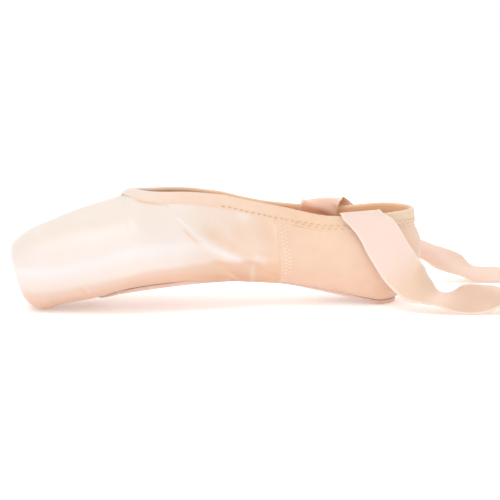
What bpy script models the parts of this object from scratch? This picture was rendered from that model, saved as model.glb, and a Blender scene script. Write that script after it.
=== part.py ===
"""A satin pointe shoe with its two ribbons, standing empty on its box and its heel.

Metres, +Z up. The toe points to -X, the heel to +X, and the origin is on the floor under the middle of the shoe.
Left and right are the wearer's: the left side of the shoe is at -Y.
"""
import math

import bmesh
import bpy
from mathutils import Vector

# Main sizes of the last
LENGTH = 0.235
BALL_WIDTH = 0.076
HEEL_WIDTH = 0.0545
INSTEP_HEIGHT = 0.0660
HEEL_HEIGHT = 0.0541
COLLAR_WIDTH = 0.047

# The flat end of the toe box
PLATFORM_WIDTH = 0.047
PLATFORM_HEIGHT = 0.0389
PLATFORM_TILT = math.radians(16.6)
PLATFORM_ROUND = 0.0050
PLATFORM_DOME = 0.0004
TOE_SETBACK = 0.58 * PLATFORM_ROUND
ROUND_REACH = 1.15
ROUND_SHARES = (0.34, 0.67, 1.0)
DOME_SHARES = (0.60, 0.25)

# Walls, sole and binding
BOX_WALL = 0.0030
QUARTER_WALL = 0.0020
SOLE_WIDTH = 0.0440
SOLE_THICKNESS = 0.0020
SOLE_LIP = 0.0006
ARCH_RISE = 0.0150
INSOLE_THICKNESS = 0.0018
BINDING_WIDTH = 0.0080
BINDING_PROUD = 0.0006
BINDING_MIDDLE_SHARE = 0.55
BINDING_TURN_SHARES = (0.16, 0.04)
BINDING_EDGE_ROUND = 0.55
QUARTER_STEP = 0.0006
STEP_LEVEL_ALONG = 0.03
STEP_FADE_ALONG = 0.06
CLEARANCE = 0.0003

# Ribbons, with the unit and the steps of their routes
RIBBON_WIDTH = 0.0225
RIBBON_THICKNESS = 0.0007
ROUTE_UNIT = 0.001
ROUTE_STEPS = 5

# Places along the shoe, as shares of the length from the toe
THROAT_ALONG = 0.306
THROAT_FULL_ALONG = 0.400
SOLE_ALONG = 0.211
SOLE_FULL_ALONG = 0.339
SEAM_ALONG = 0.646
SEAM_TOP_ALONG = 0.637
SEAM_GAP_ALONG = 0.0035
HEEL_ALONG = 0.870
COLLAR_BACK_ALONG = 0.979
SOLE_BACK_ALONG = 0.934
BOX_END_ALONG = 0.36

# Station numbers: ribs of the upper, from the platform to the back seam
SOLE_STATION = 10
THROAT_STATION = 13
SOLE_FULL_STATION = 17
THROAT_FULL_STATION = 20
SEAM_STATION = 32
HEEL_STATION = 42
BACK_STATION = 50
ROWS_ABOVE = 6
ROWS_BELOW = 6

RIGHT_ANGLE = math.radians(90)

# Crown of the vamp: share of the way from the platform to the binding, share of the rise between them
CROWN = (
    (0.00, 0.000),
    (0.06, 0.115),
    (0.15, 0.255),
    (0.31, 0.410),
    (0.46, 0.565),
    (0.61, 0.700),
    (0.76, 0.815),
    (0.94, 0.945),
    (1.00, 1.000),
)

# Collar edge: along, height
COLLAR_HEIGHT = (
    (0.306, 1.010 * INSTEP_HEIGHT),
    (0.345, 1.002 * INSTEP_HEIGHT),
    (0.394, 1.004 * INSTEP_HEIGHT),
    (0.435, 0.999 * INSTEP_HEIGHT),
    (0.474, 0.984 * INSTEP_HEIGHT),
    (0.513, 0.965 * INSTEP_HEIGHT),
    (0.567, 0.918 * INSTEP_HEIGHT),
    (0.606, 0.888 * INSTEP_HEIGHT),
    (0.659, 1.041 * HEEL_HEIGHT),
    (0.698, 1.010 * HEEL_HEIGHT),
    (0.760, 0.966 * HEEL_HEIGHT),
    (0.793, 0.962 * HEEL_HEIGHT),
    (0.850, 0.970 * HEEL_HEIGHT),
    (0.925, 0.994 * HEEL_HEIGHT),
    (1.000, 1.000 * HEEL_HEIGHT),
)

# Collar edge: along, half width
COLLAR_HALF = (
    (0.400, 0.225 * COLLAR_WIDTH),
    (0.435, 0.222 * COLLAR_WIDTH),
    (0.474, 0.202 * COLLAR_WIDTH),
    (0.513, 0.178 * COLLAR_WIDTH),
    (0.567, 0.142 * COLLAR_WIDTH),
    (0.606, 0.146 * COLLAR_WIDTH),
    (0.659, 0.226 * COLLAR_WIDTH),
    (0.698, 0.345 * COLLAR_WIDTH),
    (0.760, 0.440 * COLLAR_WIDTH),
    (0.870, 0.500 * COLLAR_WIDTH),
)

# Lean of the wall at the binding, in degrees from upright
LEAN = (
    (0.306, 77.0),
    (0.33, 65.0),
    (0.36, 55.0),
    (0.40, 46.0),
    (0.45, 34.0),
    (0.50, 25.0),
    (0.66, 20.0),
    (0.75, 15.0),
    (0.87, 10.0),
    (0.97, 5.0),
)

# Widest line of the wall: along, half width
WIDEST_HALF = (
    (0.00, 0.500 * PLATFORM_WIDTH),
    (0.05, 0.348 * BALL_WIDTH),
    (0.10, 0.392 * BALL_WIDTH),
    (0.15, 0.432 * BALL_WIDTH),
    (0.20, 0.465 * BALL_WIDTH),
    (0.25, 0.488 * BALL_WIDTH),
    (0.30, 0.500 * BALL_WIDTH),
    (0.36, 0.488 * BALL_WIDTH),
    (0.42, 0.450 * BALL_WIDTH),
    (0.50, 0.382 * BALL_WIDTH),
    (0.58, 0.322 * BALL_WIDTH),
    (0.65, 0.432 * HEEL_WIDTH),
    (0.72, 0.446 * HEEL_WIDTH),
    (0.80, 0.480 * HEEL_WIDTH),
    (0.87, 0.500 * HEEL_WIDTH),
)

# Widest line of the wall: along, height
WIDEST_HEIGHT = (
    (0.00, 0.510 * PLATFORM_HEIGHT),
    (0.10, 0.330 * INSTEP_HEIGHT),
    (0.20, 0.370 * INSTEP_HEIGHT),
    (0.30, 0.410 * INSTEP_HEIGHT),
    (0.40, 0.440 * INSTEP_HEIGHT),
    (0.50, 0.455 * INSTEP_HEIGHT),
    (0.60, 0.450 * INSTEP_HEIGHT),
    (0.70, 0.500 * HEEL_HEIGHT),
    (0.80, 0.460 * HEEL_HEIGHT),
    (0.87, 0.490 * HEEL_HEIGHT),
    (1.00, 0.580 * HEEL_HEIGHT),
)

# Underside: along, height of the sole's face, or of the box ahead of it
LIFT = (
    (0.050, 0.12 * ARCH_RISE),
    (0.078, -0.06 * ARCH_RISE),
    (0.094, -0.06 * ARCH_RISE),
    (0.111, 0.10 * ARCH_RISE),
    (0.138, 0.20 * ARCH_RISE),
    (0.170, 0.27 * ARCH_RISE),
    (0.200, 0.33 * ARCH_RISE),
    (0.265, 0.65 * ARCH_RISE),
    (0.345, 0.86 * ARCH_RISE),
    (0.447, 0.98 * ARCH_RISE),
    (0.513, 1.00 * ARCH_RISE),
    (0.606, 0.90 * ARCH_RISE),
    (0.657, 0.82 * ARCH_RISE),
    (0.730, 0.60 * ARCH_RISE),
    (0.778, 0.43 * ARCH_RISE),
    (0.815, 0.29 * ARCH_RISE),
    (0.840, 0.18 * ARCH_RISE),
    (0.868, 0.07 * ARCH_RISE),
    (0.895, 0.00 * ARCH_RISE),
    (0.935, 0.00 * ARCH_RISE),
    (0.960, 0.06 * ARCH_RISE),
)

# The sole lies in a shallow seat that starts ahead of it: along, share of its thickness
SEAT = (
    (0.150, 0.00),
    (0.211, 0.45),
    (0.300, 1.00),
)

# Edge of the sole: along, half width
SOLE_HALF = (
    (0.339, 0.500 * SOLE_WIDTH),
    (0.400, 0.478 * SOLE_WIDTH),
    (0.470, 0.405 * SOLE_WIDTH),
    (0.540, 0.310 * SOLE_WIDTH),
    (0.600, 0.255 * SOLE_WIDTH),
    (0.660, 0.245 * SOLE_WIDTH),
    (0.720, 0.272 * SOLE_WIDTH),
    (0.780, 0.308 * SOLE_WIDTH),
    (0.840, 0.338 * SOLE_WIDTH),
    (0.870, 0.345 * SOLE_WIDTH),
)

# How steeply the wall comes down to the sole, in degrees: along, slope
UNDER_SLOPE = (
    (0.20, 0.0),
    (0.30, 22.0),
    (0.40, 30.0),
    (0.60, 32.0),
    (0.87, 24.0),
)

# Fullness of a rib's four quarters, as the reach of its curve handles: along, beside the crown, above the
# widest line, below it, beside the keel
FULLNESS = (
    (0.00, 0.62, 0.62, 0.58, 0.72),
    (0.20, 0.60, 0.58, 0.56, 0.72),
    (0.30, 0.58, 0.56, 0.56, 0.64),
    (0.38, 0.50, 0.55, 0.56, 0.60),
    (0.50, 0.34, 0.50, 0.56, 0.58),
    (0.80, 0.30, 0.45, 0.60, 0.60),
    (0.95, 0.34, 0.60, 0.72, 0.75),
)

# Ribbon on the left side, in route units: centre x, y, z, then the direction across it. It is sewn inside the
# quarter, passes over the collar, slants down to the floor, leans there on its lower edge and lies in loose folds
LEFT_ROUTE = (
    (83.0, -20.8, 37.0, 0.98, -0.09, 0.16),
    (81.4, -19.6, 46.0, 0.98, -0.10, 0.16),
    (79.4, -19.4, 51.2, 0.98, -0.10, 0.10),
    (79.0, -22.2, 53.9, 0.98, -0.09, 0.05),
    (80.6, -25.2, 51.8, 0.98, -0.05, 0.12),
    (84.6, -27.6, 48.0, 0.94, 0.00, 0.33),
    (89.0, -29.9, 43.2, 0.86, 0.02, 0.50),
    (94.0, -33.0, 34.5, 0.81, 0.00, 0.58),
    (98.7, -36.6, 26.6, 0.83, 0.02, 0.56),
    (103.0, -38.8, 20.4, 0.84, 0.12, 0.53),
    (107.2, -39.2, 16.0, 0.87, 0.34, 0.27),
    (112.6, -39.2, 11.7, 0.74, 0.66, 0.08),
    (118.6, -40.2, 7.8, 0.50, 0.87, 0.08),
    (125.0, -42.2, 7.2, 0.29, 0.92, 0.24),
    (132.0, -44.4, 7.6, 0.15, 0.82, 0.55),
    (138.5, -45.4, 8.0, 0.08, 0.75, 0.66),
    (146.0, -46.0, 8.4, 0.04, 0.82, 0.57),
    (153.0, -47.2, 9.4, 0.02, 0.93, 0.37),
    (162.0, -48.6, 7.8, 0.02, 0.98, 0.18),
    (174.0, -50.0, 3.4, 0.00, 1.00, 0.04),
    (190.0, -51.0, 1.2, 0.00, 1.00, 0.00),
    (222.0, -52.5, 0.8, 0.04, 1.00, 0.00),
    (252.0, -53.5, 1.6, 0.03, 1.00, 0.00),
    (262.0, -53.5, 4.8, 0.00, 1.00, 0.00),
    (253.0, -52.8, 8.2, -0.04, 1.00, 0.00),
    (222.0, -50.0, 5.6, -0.08, 1.00, 0.00),
    (192.0, -47.6, 5.2, -0.06, 1.00, 0.00),
    (182.0, -47.0, 8.6, 0.00, 1.00, 0.00),
    (192.0, -47.4, 12.0, 0.06, 1.00, 0.00),
    (222.0, -50.0, 10.2, 0.09, 1.00, 0.00),
    (250.0, -52.4, 12.4, 0.06, 1.00, 0.00),
    (260.0, -52.8, 15.6, 0.00, 1.00, 0.00),
    (250.0, -52.2, 18.8, -0.05, 1.00, 0.00),
    (222.0, -50.4, 15.2, -0.06, 1.00, 0.00),
    (198.0, -49.0, 16.4, -0.05, 1.00, 0.00),
)

# Ribbon on the right side, the same way round. It comes down behind the heel
RIGHT_ROUTE = (
    (58.0, 19.8, 39.0, 0.98, 0.15, 0.08),
    (58.8, 17.2, 48.0, 0.98, 0.14, 0.08),
    (60.6, 16.8, 52.0, 0.98, 0.15, 0.02),
    (63.4, 20.2, 54.7, 0.99, 0.06, 0.03),
    (66.2, 24.2, 52.6, 0.97, 0.10, 0.10),
    (69.2, 26.6, 49.2, 0.90, 0.10, 0.40),
    (73.6, 29.2, 44.6, 0.78, 0.16, 0.60),
    (80.0, 32.8, 40.0, 0.60, 0.28, 0.73),
    (89.0, 37.6, 35.6, 0.34, 0.50, 0.78),
    (104.0, 44.2, 28.8, 0.04, 0.60, 0.80),
    (120.0, 49.6, 22.4, -0.14, 0.62, 0.78),
    (131.0, 53.2, 16.8, -0.20, 0.66, 0.72),
    (141.0, 56.0, 12.0, -0.16, 0.82, 0.54),
    (150.0, 57.6, 8.6, -0.08, 0.91, 0.40),
    (161.0, 58.0, 4.8, 0.00, 0.97, 0.24),
    (176.0, 57.4, 3.4, 0.00, 0.97, 0.23),
    (188.0, 57.0, 2.2, 0.00, 1.00, 0.10),
    (204.0, 56.4, 1.0, 0.00, 1.00, 0.00),
    (232.0, 55.0, 0.8, -0.04, 1.00, 0.00),
    (256.0, 53.6, 1.8, -0.05, 1.00, 0.00),
    (265.0, 53.2, 5.0, 0.00, 1.00, 0.00),
    (255.0, 53.8, 8.2, 0.05, 1.00, 0.00),
    (230.0, 55.6, 5.4, 0.07, 1.00, 0.00),
    (206.0, 57.2, 5.4, 0.05, 1.00, 0.00),
    (196.0, 57.8, 8.8, 0.00, 1.00, 0.00),
    (206.0, 57.4, 12.2, -0.05, 1.00, 0.00),
    (232.0, 55.4, 10.0, -0.08, 1.00, 0.00),
    (252.0, 53.8, 12.4, -0.06, 1.00, 0.00),
    (262.0, 53.2, 15.8, 0.00, 1.00, 0.00),
    (252.0, 53.6, 19.2, 0.05, 1.00, 0.00),
    (230.0, 55.0, 15.4, 0.06, 1.00, 0.00),
    (208.0, 56.4, 16.6, 0.05, 1.00, 0.00),
)


def smooth(table, along, column=1):
    """A table's value at one place, on a smooth curve through its rows that never overshoots them."""
    places = [row[0] for row in table]
    values = [row[column] for row in table]
    if along <= places[0]:
        return values[0]
    if along >= places[-1]:
        return values[-1]
    span = max(i for i, place in enumerate(places) if place <= along)
    grades = [(b - a) / (q - p) for p, q, a, b in zip(places, places[1:], values, values[1:])]

    def slope(i):
        if i == 0:
            return grades[0]
        if i == len(grades):
            return grades[-1]
        before, after = grades[i - 1], grades[i]
        return 0.0 if before * after <= 0 else 2 * before * after / (before + after)

    wide = places[span + 1] - places[span]
    t = (along - places[span]) / wide
    return (
        (2 * t**3 - 3 * t**2 + 1) * values[span]
        + (t**3 - 2 * t**2 + t) * wide * slope(span)
        + (3 * t**2 - 2 * t**3) * values[span + 1]
        + (t**3 - t**2) * wide * slope(span + 1)
    )


def to_x(along):
    return (along - 0.5) * LENGTH


def to_along(x):
    return x / LENGTH + 0.5


def clamped(share):
    """A share held between 0 and 1."""
    return min(1.0, max(0.0, share))


def quarter_turn(share):
    """A share from 0 to 1 as an angle from 0 to 90 degrees."""
    return math.radians(90 * share)


def spaced(station, knots, opening=None):
    """The place along the shoe of a station, evenly between knots, or gathered at the tip of an opening."""
    for (first, start), (last, end) in zip(knots, knots[1:]):
        if station <= last:
            share = (station - first) / (last - first)
            if first == opening:
                share = 1 - math.cos(quarter_turn(share))
            return start + (end - start) * share
    return knots[-1][1]


def heel_turn(station):
    """How far round the heel a station is, as an angle from 0 at the side to 90 degrees at the back seam."""
    return quarter_turn(clamped((station - HEEL_STATION) / (BACK_STATION - HEEL_STATION)))


def round_heel(station, half, back_along):
    """Place along the shoe and half width of a line where it turns round the heel."""
    turn = heel_turn(station)
    along = HEEL_ALONG + (back_along - HEEL_ALONG) * math.sin(turn)
    return along, half * math.cos(turn)


def opening_growth(station, first, last):
    """The share of an opening's half width that a station has, from 0 at its tip."""
    return math.sin(quarter_turn(clamped((station - first) / (last - first))))


def collar_point(station):
    """The collar edge, on the left side as a positive half width."""
    if station > HEEL_STATION:
        along, half = round_heel(station, smooth(COLLAR_HALF, HEEL_ALONG), COLLAR_BACK_ALONG)
    else:
        knots = (
            (THROAT_STATION, THROAT_ALONG),
            (THROAT_FULL_STATION, THROAT_FULL_ALONG),
            (SEAM_STATION, SEAM_TOP_ALONG),
            (SEAM_STATION + 1, SEAM_TOP_ALONG + SEAM_GAP_ALONG),
            (HEEL_STATION, HEEL_ALONG),
        )
        along = spaced(station, knots, THROAT_STATION)
        half = smooth(COLLAR_HALF, along) * opening_growth(station, THROAT_STATION, THROAT_FULL_STATION)
    return Vector((to_x(along), half, smooth(COLLAR_HEIGHT, along)))


def outward(line, station, first):
    """The direction in plan that points away from an opening, square to its edge."""
    if station == first:
        return Vector((-1, 0, 0))
    if station == BACK_STATION:
        return Vector((1, 0, 0))
    run = line(station + 1) - line(station - 1)
    return Vector((-run.y, run.x, 0)).normalized()


def binding_lean(station):
    """The angle of the wall from upright, at the binding."""
    return math.radians(smooth(LEAN, to_along(collar_point(station).x)))


def binding_frame(station):
    """Down the wall and out of it, at the binding."""
    plan = outward(collar_point, station, THROAT_STATION)
    lean = binding_lean(station)
    down = plan * math.sin(lean) - Vector((0, 0, math.cos(lean)))
    out = plan * math.cos(lean) + Vector((0, 0, math.sin(lean)))
    return down, out


def platform_edge(height):
    """A point's place along X on the tilted plane of the first rib."""
    return to_x(0) + TOE_SETBACK + (PLATFORM_HEIGHT - height) * math.tan(PLATFORM_TILT)


def top_point(station):
    """The crown of the vamp, then the seam under the binding."""
    if station >= THROAT_STATION:
        return collar_point(station) + BINDING_WIDTH * binding_frame(station)[0]
    tip = collar_point(THROAT_STATION) + BINDING_WIDTH * binding_frame(THROAT_STATION)[0]
    start = Vector((platform_edge(PLATFORM_HEIGHT), 0, PLATFORM_HEIGHT))
    share = station / THROAT_STATION
    rise = smooth(CROWN, share)
    return Vector((start.x + (tip.x - start.x) * share, 0, start.z + (tip.z - start.z) * rise))


def widest_point(station):
    """The widest line of the wall."""
    start_height = smooth(WIDEST_HEIGHT, 0)
    if station > HEEL_STATION:
        along, half = round_heel(station, smooth(WIDEST_HALF, HEEL_ALONG), 1.0)
    else:
        knots = (
            (0, to_along(platform_edge(start_height))),
            (SEAM_STATION, SEAM_ALONG),
            (SEAM_STATION + 1, SEAM_ALONG + SEAM_GAP_ALONG),
            (HEEL_STATION, HEEL_ALONG),
        )
        along = spaced(station, knots)
        half = smooth(WIDEST_HALF, along)
    height = smooth(WIDEST_HEIGHT, 0 if station == 0 else along)
    return Vector((to_x(along), half, height))


def seat_height(along):
    """The underside of the upper: the keel of the box, then the face that the sole lies against."""
    return smooth(LIFT, along) + smooth(SEAT, along) * (SOLE_THICKNESS + CLEARANCE)


def low_point(station):
    """The keel of the box, then the edge of the opening that the sole closes."""
    if station > HEEL_STATION:
        along, half = round_heel(station, smooth(SOLE_HALF, HEEL_ALONG), SOLE_BACK_ALONG)
    else:
        knots = (
            (0, to_along(platform_edge(0))),
            (SOLE_STATION, SOLE_ALONG),
            (SOLE_FULL_STATION, SOLE_FULL_ALONG),
            (SEAM_STATION, SEAM_ALONG),
            (SEAM_STATION + 1, SEAM_ALONG + SEAM_GAP_ALONG),
            (HEEL_STATION, HEEL_ALONG),
        )
        along = spaced(station, knots, SOLE_STATION)
        half = smooth(SOLE_HALF, along) * opening_growth(station, SOLE_STATION, SOLE_FULL_STATION)
    return Vector((to_x(along), half, seat_height(along)))


def curve(start, start_handle, end_handle, end, share):
    """A point on a curve with two handles."""
    left = 1 - share
    return (
        start * left**3
        + start_handle * 3 * left**2 * share
        + end_handle * 3 * left * share**2
        + end * share**3
    )


def rib(station):
    """One rib of the upper's outer face, on the left side, from its top to its keel or sole edge."""
    top, widest, low = top_point(station), widest_point(station), low_point(station)
    along = to_along(widest.x)
    crown, above, below, keel = (smooth(FULLNESS, along, column) for column in (1, 2, 3, 4))
    turn = heel_turn(station)
    side = Vector((math.sin(turn), math.cos(turn), 0))
    upright = math.cos(turn)
    lean = binding_lean(max(station, THROAT_STATION))
    lean = RIGHT_ANGLE + (lean - RIGHT_ANGLE) * min(1.0, station / THROAT_STATION)
    slope = math.radians(smooth(UNDER_SLOPE, to_along(low.x)))
    if station <= SOLE_STATION:
        slope = 0.0
    down = side * math.sin(lean) - Vector((0, 0, math.cos(lean)))
    up = side * math.cos(slope) + Vector((0, 0, math.sin(slope)))
    spread = widest - low
    spread.z = 0
    top_handle = top + down * (widest - top).length * crown
    above_handle = widest + Vector(((top.x - widest.x) * upright, 0, top.z - widest.z)) * above
    below_handle = widest + Vector(((low.x - widest.x) * upright, 0, low.z - widest.z)) * below
    low_handle = low + up * spread.length * keel
    points = [curve(top, top_handle, above_handle, widest, k / ROWS_ABOVE) for k in range(ROWS_ABOVE)]
    points += [curve(widest, below_handle, low_handle, low, k / ROWS_BELOW) for k in range(ROWS_BELOW + 1)]
    for point in points:
        point.z = max(point.z, 0.0)
    return points


def mirrored(point):
    return Vector((point.x, -point.y, point.z))


def new_object(name, build, color, roughness):
    """An object with its own material, from a bmesh."""
    bmesh.ops.recalc_face_normals(build, faces=build.faces)
    mesh = bpy.data.meshes.new(name)
    build.to_mesh(mesh)
    build.free()
    mesh.shade_smooth()
    mesh.set_sharp_from_angle(angle=math.radians(40))
    thing = bpy.data.objects.new(name, mesh)
    bpy.context.collection.objects.link(thing)
    material = bpy.data.materials.new(name)
    material.use_nodes = True
    shader = material.node_tree.nodes["Principled BSDF"]
    shader.inputs["Base Color"].default_value = (*color, 1)
    shader.inputs["Roughness"].default_value = roughness
    shader.inputs["Metallic"].default_value = 0.0
    mesh.materials.append(material)
    return thing


def add_platform(build, ring, behind):
    """Rounds the first rib's ring over onto the platform and closes it, with a slight dome."""
    forward = Vector((-math.cos(PLATFORM_TILT), 0, -math.sin(PLATFORM_TILT)))
    on_plane = ring[0].co + forward * PLATFORM_ROUND
    centre = sum((vert.co for vert in ring), Vector()) / len(ring)
    centre += forward * (on_plane - centre).dot(forward)
    corners, ends = [], []
    for vert, back in zip(ring, behind):
        run = (vert.co - back.co).normalized()
        corner = vert.co + run * ((on_plane - vert.co).dot(forward) / run.dot(forward))
        inward = centre - corner
        corners.append(corner)
        ends.append(corner + inward.normalized() * (corner - vert.co).length * ROUND_REACH)
    starts = [vert.co.copy() for vert in ring]
    last = ring
    for share in ROUND_SHARES:
        left = 1 - share
        rounded = [
            build.verts.new(a * left**2 + b * 2 * left * share + c * share**2)
            for a, b, c in zip(starts, corners, ends)
        ]
        join_rings(build, last, rounded)
        last = rounded
    for share in DOME_SHARES:
        dome = forward * PLATFORM_DOME * (1 - share**2)
        inner = [build.verts.new(centre + (end - centre) * share + dome) for end in ends]
        join_rings(build, last, inner)
        last = inner
    tip = build.verts.new(centre + forward * PLATFORM_DOME)
    for a, b in zip(last, last[1:] + last[:1]):
        build.faces.new((a, b, tip))


def join_rings(build, one, other):
    for a, b, c, d in zip(one, one[1:] + one[:1], other[1:] + other[:1], other):
        build.faces.new((a, b, c, d))


def wall_depth(along):
    """Thickness of the wall, from the stiff box to the soft quarters."""
    share = clamped((along - SOLE_ALONG) / (BOX_END_ALONG - SOLE_ALONG))
    return BOX_WALL + (QUARTER_WALL - BOX_WALL) * share


def add_ribs(build, place, rim, proud):
    """One side of the upper's outer face. Each rim vertex keeps the direction that the wall's thickness takes."""
    grid = []
    for i in range(BACK_STATION + 1):
        grid.append([build.verts.new(place(point)) for point in rib(i)])
        for vert in grid[i]:
            vert[proud] = quarter_step(i)
        if i >= THROAT_STATION:
            grid[i][0][rim] = -place(binding_frame(i)[1])
        if i >= SOLE_STATION:
            grid[i][-1][rim] = -place(outward(low_point, i, SOLE_STATION))
    for one, other in zip(grid, grid[1:]):
        for a, b, c, d in zip(one, one[1:], other[1:], other):
            build.faces.new((a, b, c, d))
    return grid


def make_upper():
    """The hollow upper: outer face from its ribs, inner face a wall's depth inside it, rims joined."""
    build = bmesh.new()
    rim = build.verts.layers.float_vector.new("rim")
    proud = build.verts.layers.float.new("proud")
    left = add_ribs(build, mirrored, rim, proud)
    right = add_ribs(build, Vector.copy, rim, proud)
    add_platform(build, left[0] + right[0][-2:0:-1], left[1] + right[1][-2:0:-1])
    bmesh.ops.remove_doubles(build, verts=build.verts, dist=1e-6)
    bmesh.ops.recalc_face_normals(build, faces=build.faces)
    build.normal_update()
    outer_faces = list(build.faces)
    outer_verts = list(build.verts)
    edges = [edge for edge in build.edges if edge.is_boundary]
    twins = {}
    for vert in outer_verts:
        along = to_along(vert.co.x)
        on_rim = Vector(vert[rim]).length > 0
        direction = Vector(vert[rim]) if on_rim else -vert.normal
        inner = vert.co + direction * wall_depth(along)
        if on_rim and vert.co.z < 0.5 * HEEL_HEIGHT:
            inner.z = seat_height(to_along(inner.x))
        twins[vert] = build.verts.new(inner)
        vert.co -= direction * vert[proud]
    for face in outer_faces:
        build.faces.new([twins[vert] for vert in reversed(face.verts)])
    for edge in edges:
        a, b = edge.verts
        build.faces.new((a, b, twins[b], twins[a]))
    return new_object("upper", build, (0.93, 0.80, 0.74), 0.35)


def quarter_step(station):
    """How far the quarter's overlap stands out of the vamp's face, from the side seam back."""
    if station <= SEAM_STATION:
        return 0.0
    behind = to_along(widest_point(station).x) - SEAM_ALONG
    return QUARTER_STEP * (1 - clamped((behind - STEP_LEVEL_ALONG) / STEP_FADE_ALONG))


def make_binding():
    """The folded tape round the collar, from the upper's top rim to the collar edge."""
    build = bmesh.new()
    thick_out = BINDING_PROUD
    thick_in = QUARTER_WALL + 0.5 * BINDING_PROUD
    middle = 0.5 * (thick_out - thick_in)
    seam = BINDING_WIDTH - CLEARANCE
    half = BINDING_MIDDLE_SHARE * BINDING_WIDTH
    turn, lip = (share * BINDING_WIDTH for share in BINDING_TURN_SHARES)
    round_out = middle + BINDING_EDGE_ROUND * (thick_out - middle)
    round_in = middle - BINDING_EDGE_ROUND * (thick_in + middle)
    face = [(seam, thick_out), (half, thick_out), (turn, thick_out), (lip, round_out)]
    lining = [(lip, round_in), (turn, -thick_in), (half, -thick_in), (seam, -thick_in)]
    profile = face + [(0.0, middle)] + lining
    rings = []
    stations = range(THROAT_STATION, BACK_STATION + 1)
    for place, order in ((mirrored, stations), (Vector.copy, reversed(stations[1:-1]))):
        for i in order:
            edge = collar_point(i)
            down, out = binding_frame(i)
            rings.append([build.verts.new(place(edge + down * u + out * w)) for u, w in profile])
    for one, other in zip(rings, rings[1:] + rings[:1]):
        join_rings(build, one, other)
    return new_object("collar_binding", build, (0.93, 0.82, 0.72), 0.5)


def sole_outline(grow):
    """The sole's edge in plan on one side, from its tip to its back, grown outward by a distance."""
    points = []
    for i in range(SOLE_STATION, BACK_STATION + 1):
        points.append(low_point(i) + outward(low_point, i, SOLE_STATION) * grow)
    points[0].y = points[-1].y = 0.0
    return points


def make_plate(name, outline, over, under, color, roughness):
    """A plate that follows the sole's curve: over and under give the heights of its faces along the shoe."""
    build = bmesh.new()
    faces = []
    for height in (over, under):
        left = [build.verts.new((p.x, -p.y, height(to_along(p.x)))) for p in outline]
        right = [build.verts.new((p.x, p.y, height(to_along(p.x)))) for p in outline[1:-1]]
        right = [left[0]] + right + [left[-1]]
        faces.append((left, right))
        for k in range(len(outline) - 1):
            corners = [left[k], left[k + 1], right[k + 1], right[k]]
            build.faces.new(list(dict.fromkeys(corners)))
    (top_left, top_right), (low_left, low_right) = faces
    for top, low in ((top_left, low_left), (top_right, low_right)):
        for a, b, c, d in zip(top, top[1:], low[1:], low):
            build.faces.new((a, b, c, d))
    return new_object(name, build, color, roughness)


def sole_top(along):
    return seat_height(along) - CLEARANCE


def sole_face(along):
    return sole_top(along) - smooth(SEAT, along) * SOLE_THICKNESS


def make_outsole():
    outline = sole_outline(SOLE_LIP)
    return make_plate("outsole", outline, sole_top, sole_face, (0.90, 0.72, 0.64), 0.6)


def insole_top(along):
    return seat_height(along) + INSOLE_THICKNESS


def make_insole():
    outline = sole_outline(-BOX_WALL - CLEARANCE)
    return make_plate("insole", outline, insole_top, seat_height, (0.87, 0.72, 0.55), 0.8)


def through(before, start, end, after, share):
    """A point on a smooth curve from start to end that also heeds the points before and after them."""
    return 0.5 * (
        2 * start
        + (end - before) * share
        + (2 * before - 5 * start + 4 * end - after) * share**2
        + (3 * start - before - 3 * end + after) * share**3
    )


def route_frames(route):
    """Centre and crosswise direction of a ribbon, closely spaced along its route."""
    centres = [Vector(row[:3]) * ROUTE_UNIT for row in route]
    crosses = [Vector(row[3:]).normalized() for row in route]
    frames = []
    for i in range(len(route) - 1):
        near = (max(i - 1, 0), i, i + 1, min(i + 2, len(route) - 1))
        for k in range(ROUTE_STEPS):
            share = k / ROUTE_STEPS
            centre = through(*(centres[j] for j in near), share)
            frames.append((centre, through(*(crosses[j] for j in near), share)))
    frames.append((centres[-1], crosses[-1]))
    return frames


def make_ribbon(name, route):
    """A flat ribbon of one width that follows its route."""
    build = bmesh.new()
    frames = route_frames(route)
    rings = []
    for i, (centre, cross) in enumerate(frames):
        run = (frames[min(i + 1, len(frames) - 1)][0] - frames[max(i - 1, 0)][0]).normalized()
        cross = (cross - run * cross.dot(run)).normalized() * 0.5 * RIBBON_WIDTH
        face = run.cross(cross).normalized() * 0.5 * RIBBON_THICKNESS
        corners = (centre - cross - face, centre + cross - face, centre + cross + face, centre - cross + face)
        ring = []
        for corner in corners:
            corner.z = max(corner.z, 0.0)
            ring.append(build.verts.new(corner))
        rings.append(ring)
    for one, other in zip(rings, rings[1:]):
        join_rings(build, one, other)
    build.faces.new(rings[0])
    build.faces.new(reversed(rings[-1]))
    return new_object(name, build, (0.96, 0.84, 0.76), 0.3)


for thing in list(bpy.data.objects):
    bpy.data.objects.remove(thing, do_unlink=True)
make_upper()
make_binding()
make_outsole()
make_insole()
make_ribbon("ribbon_left", LEFT_ROUTE)
make_ribbon("ribbon_right", RIGHT_ROUTE)
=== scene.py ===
# %% [markdown]
# # A satin pointe shoe
#
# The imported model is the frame: its six solids say where everything is. This script gives each of them its
# looks. The upper gets its folds, the rear quarters their own cloth, the collar its tape and stitches, and the
# two ribbons their satin.
#
# Places are in metres, in the frame's own axes: +Z is up, -X is the toe, and -Y is the side that the
# photograph shows. Tables that follow the photograph are written in millimetres, and `MM` turns them to metres.

import bmesh
import bpy
import math
import numpy as np
from mathutils import Matrix, Vector, noise
from mathutils.bvhtree import BVHTree


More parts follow.
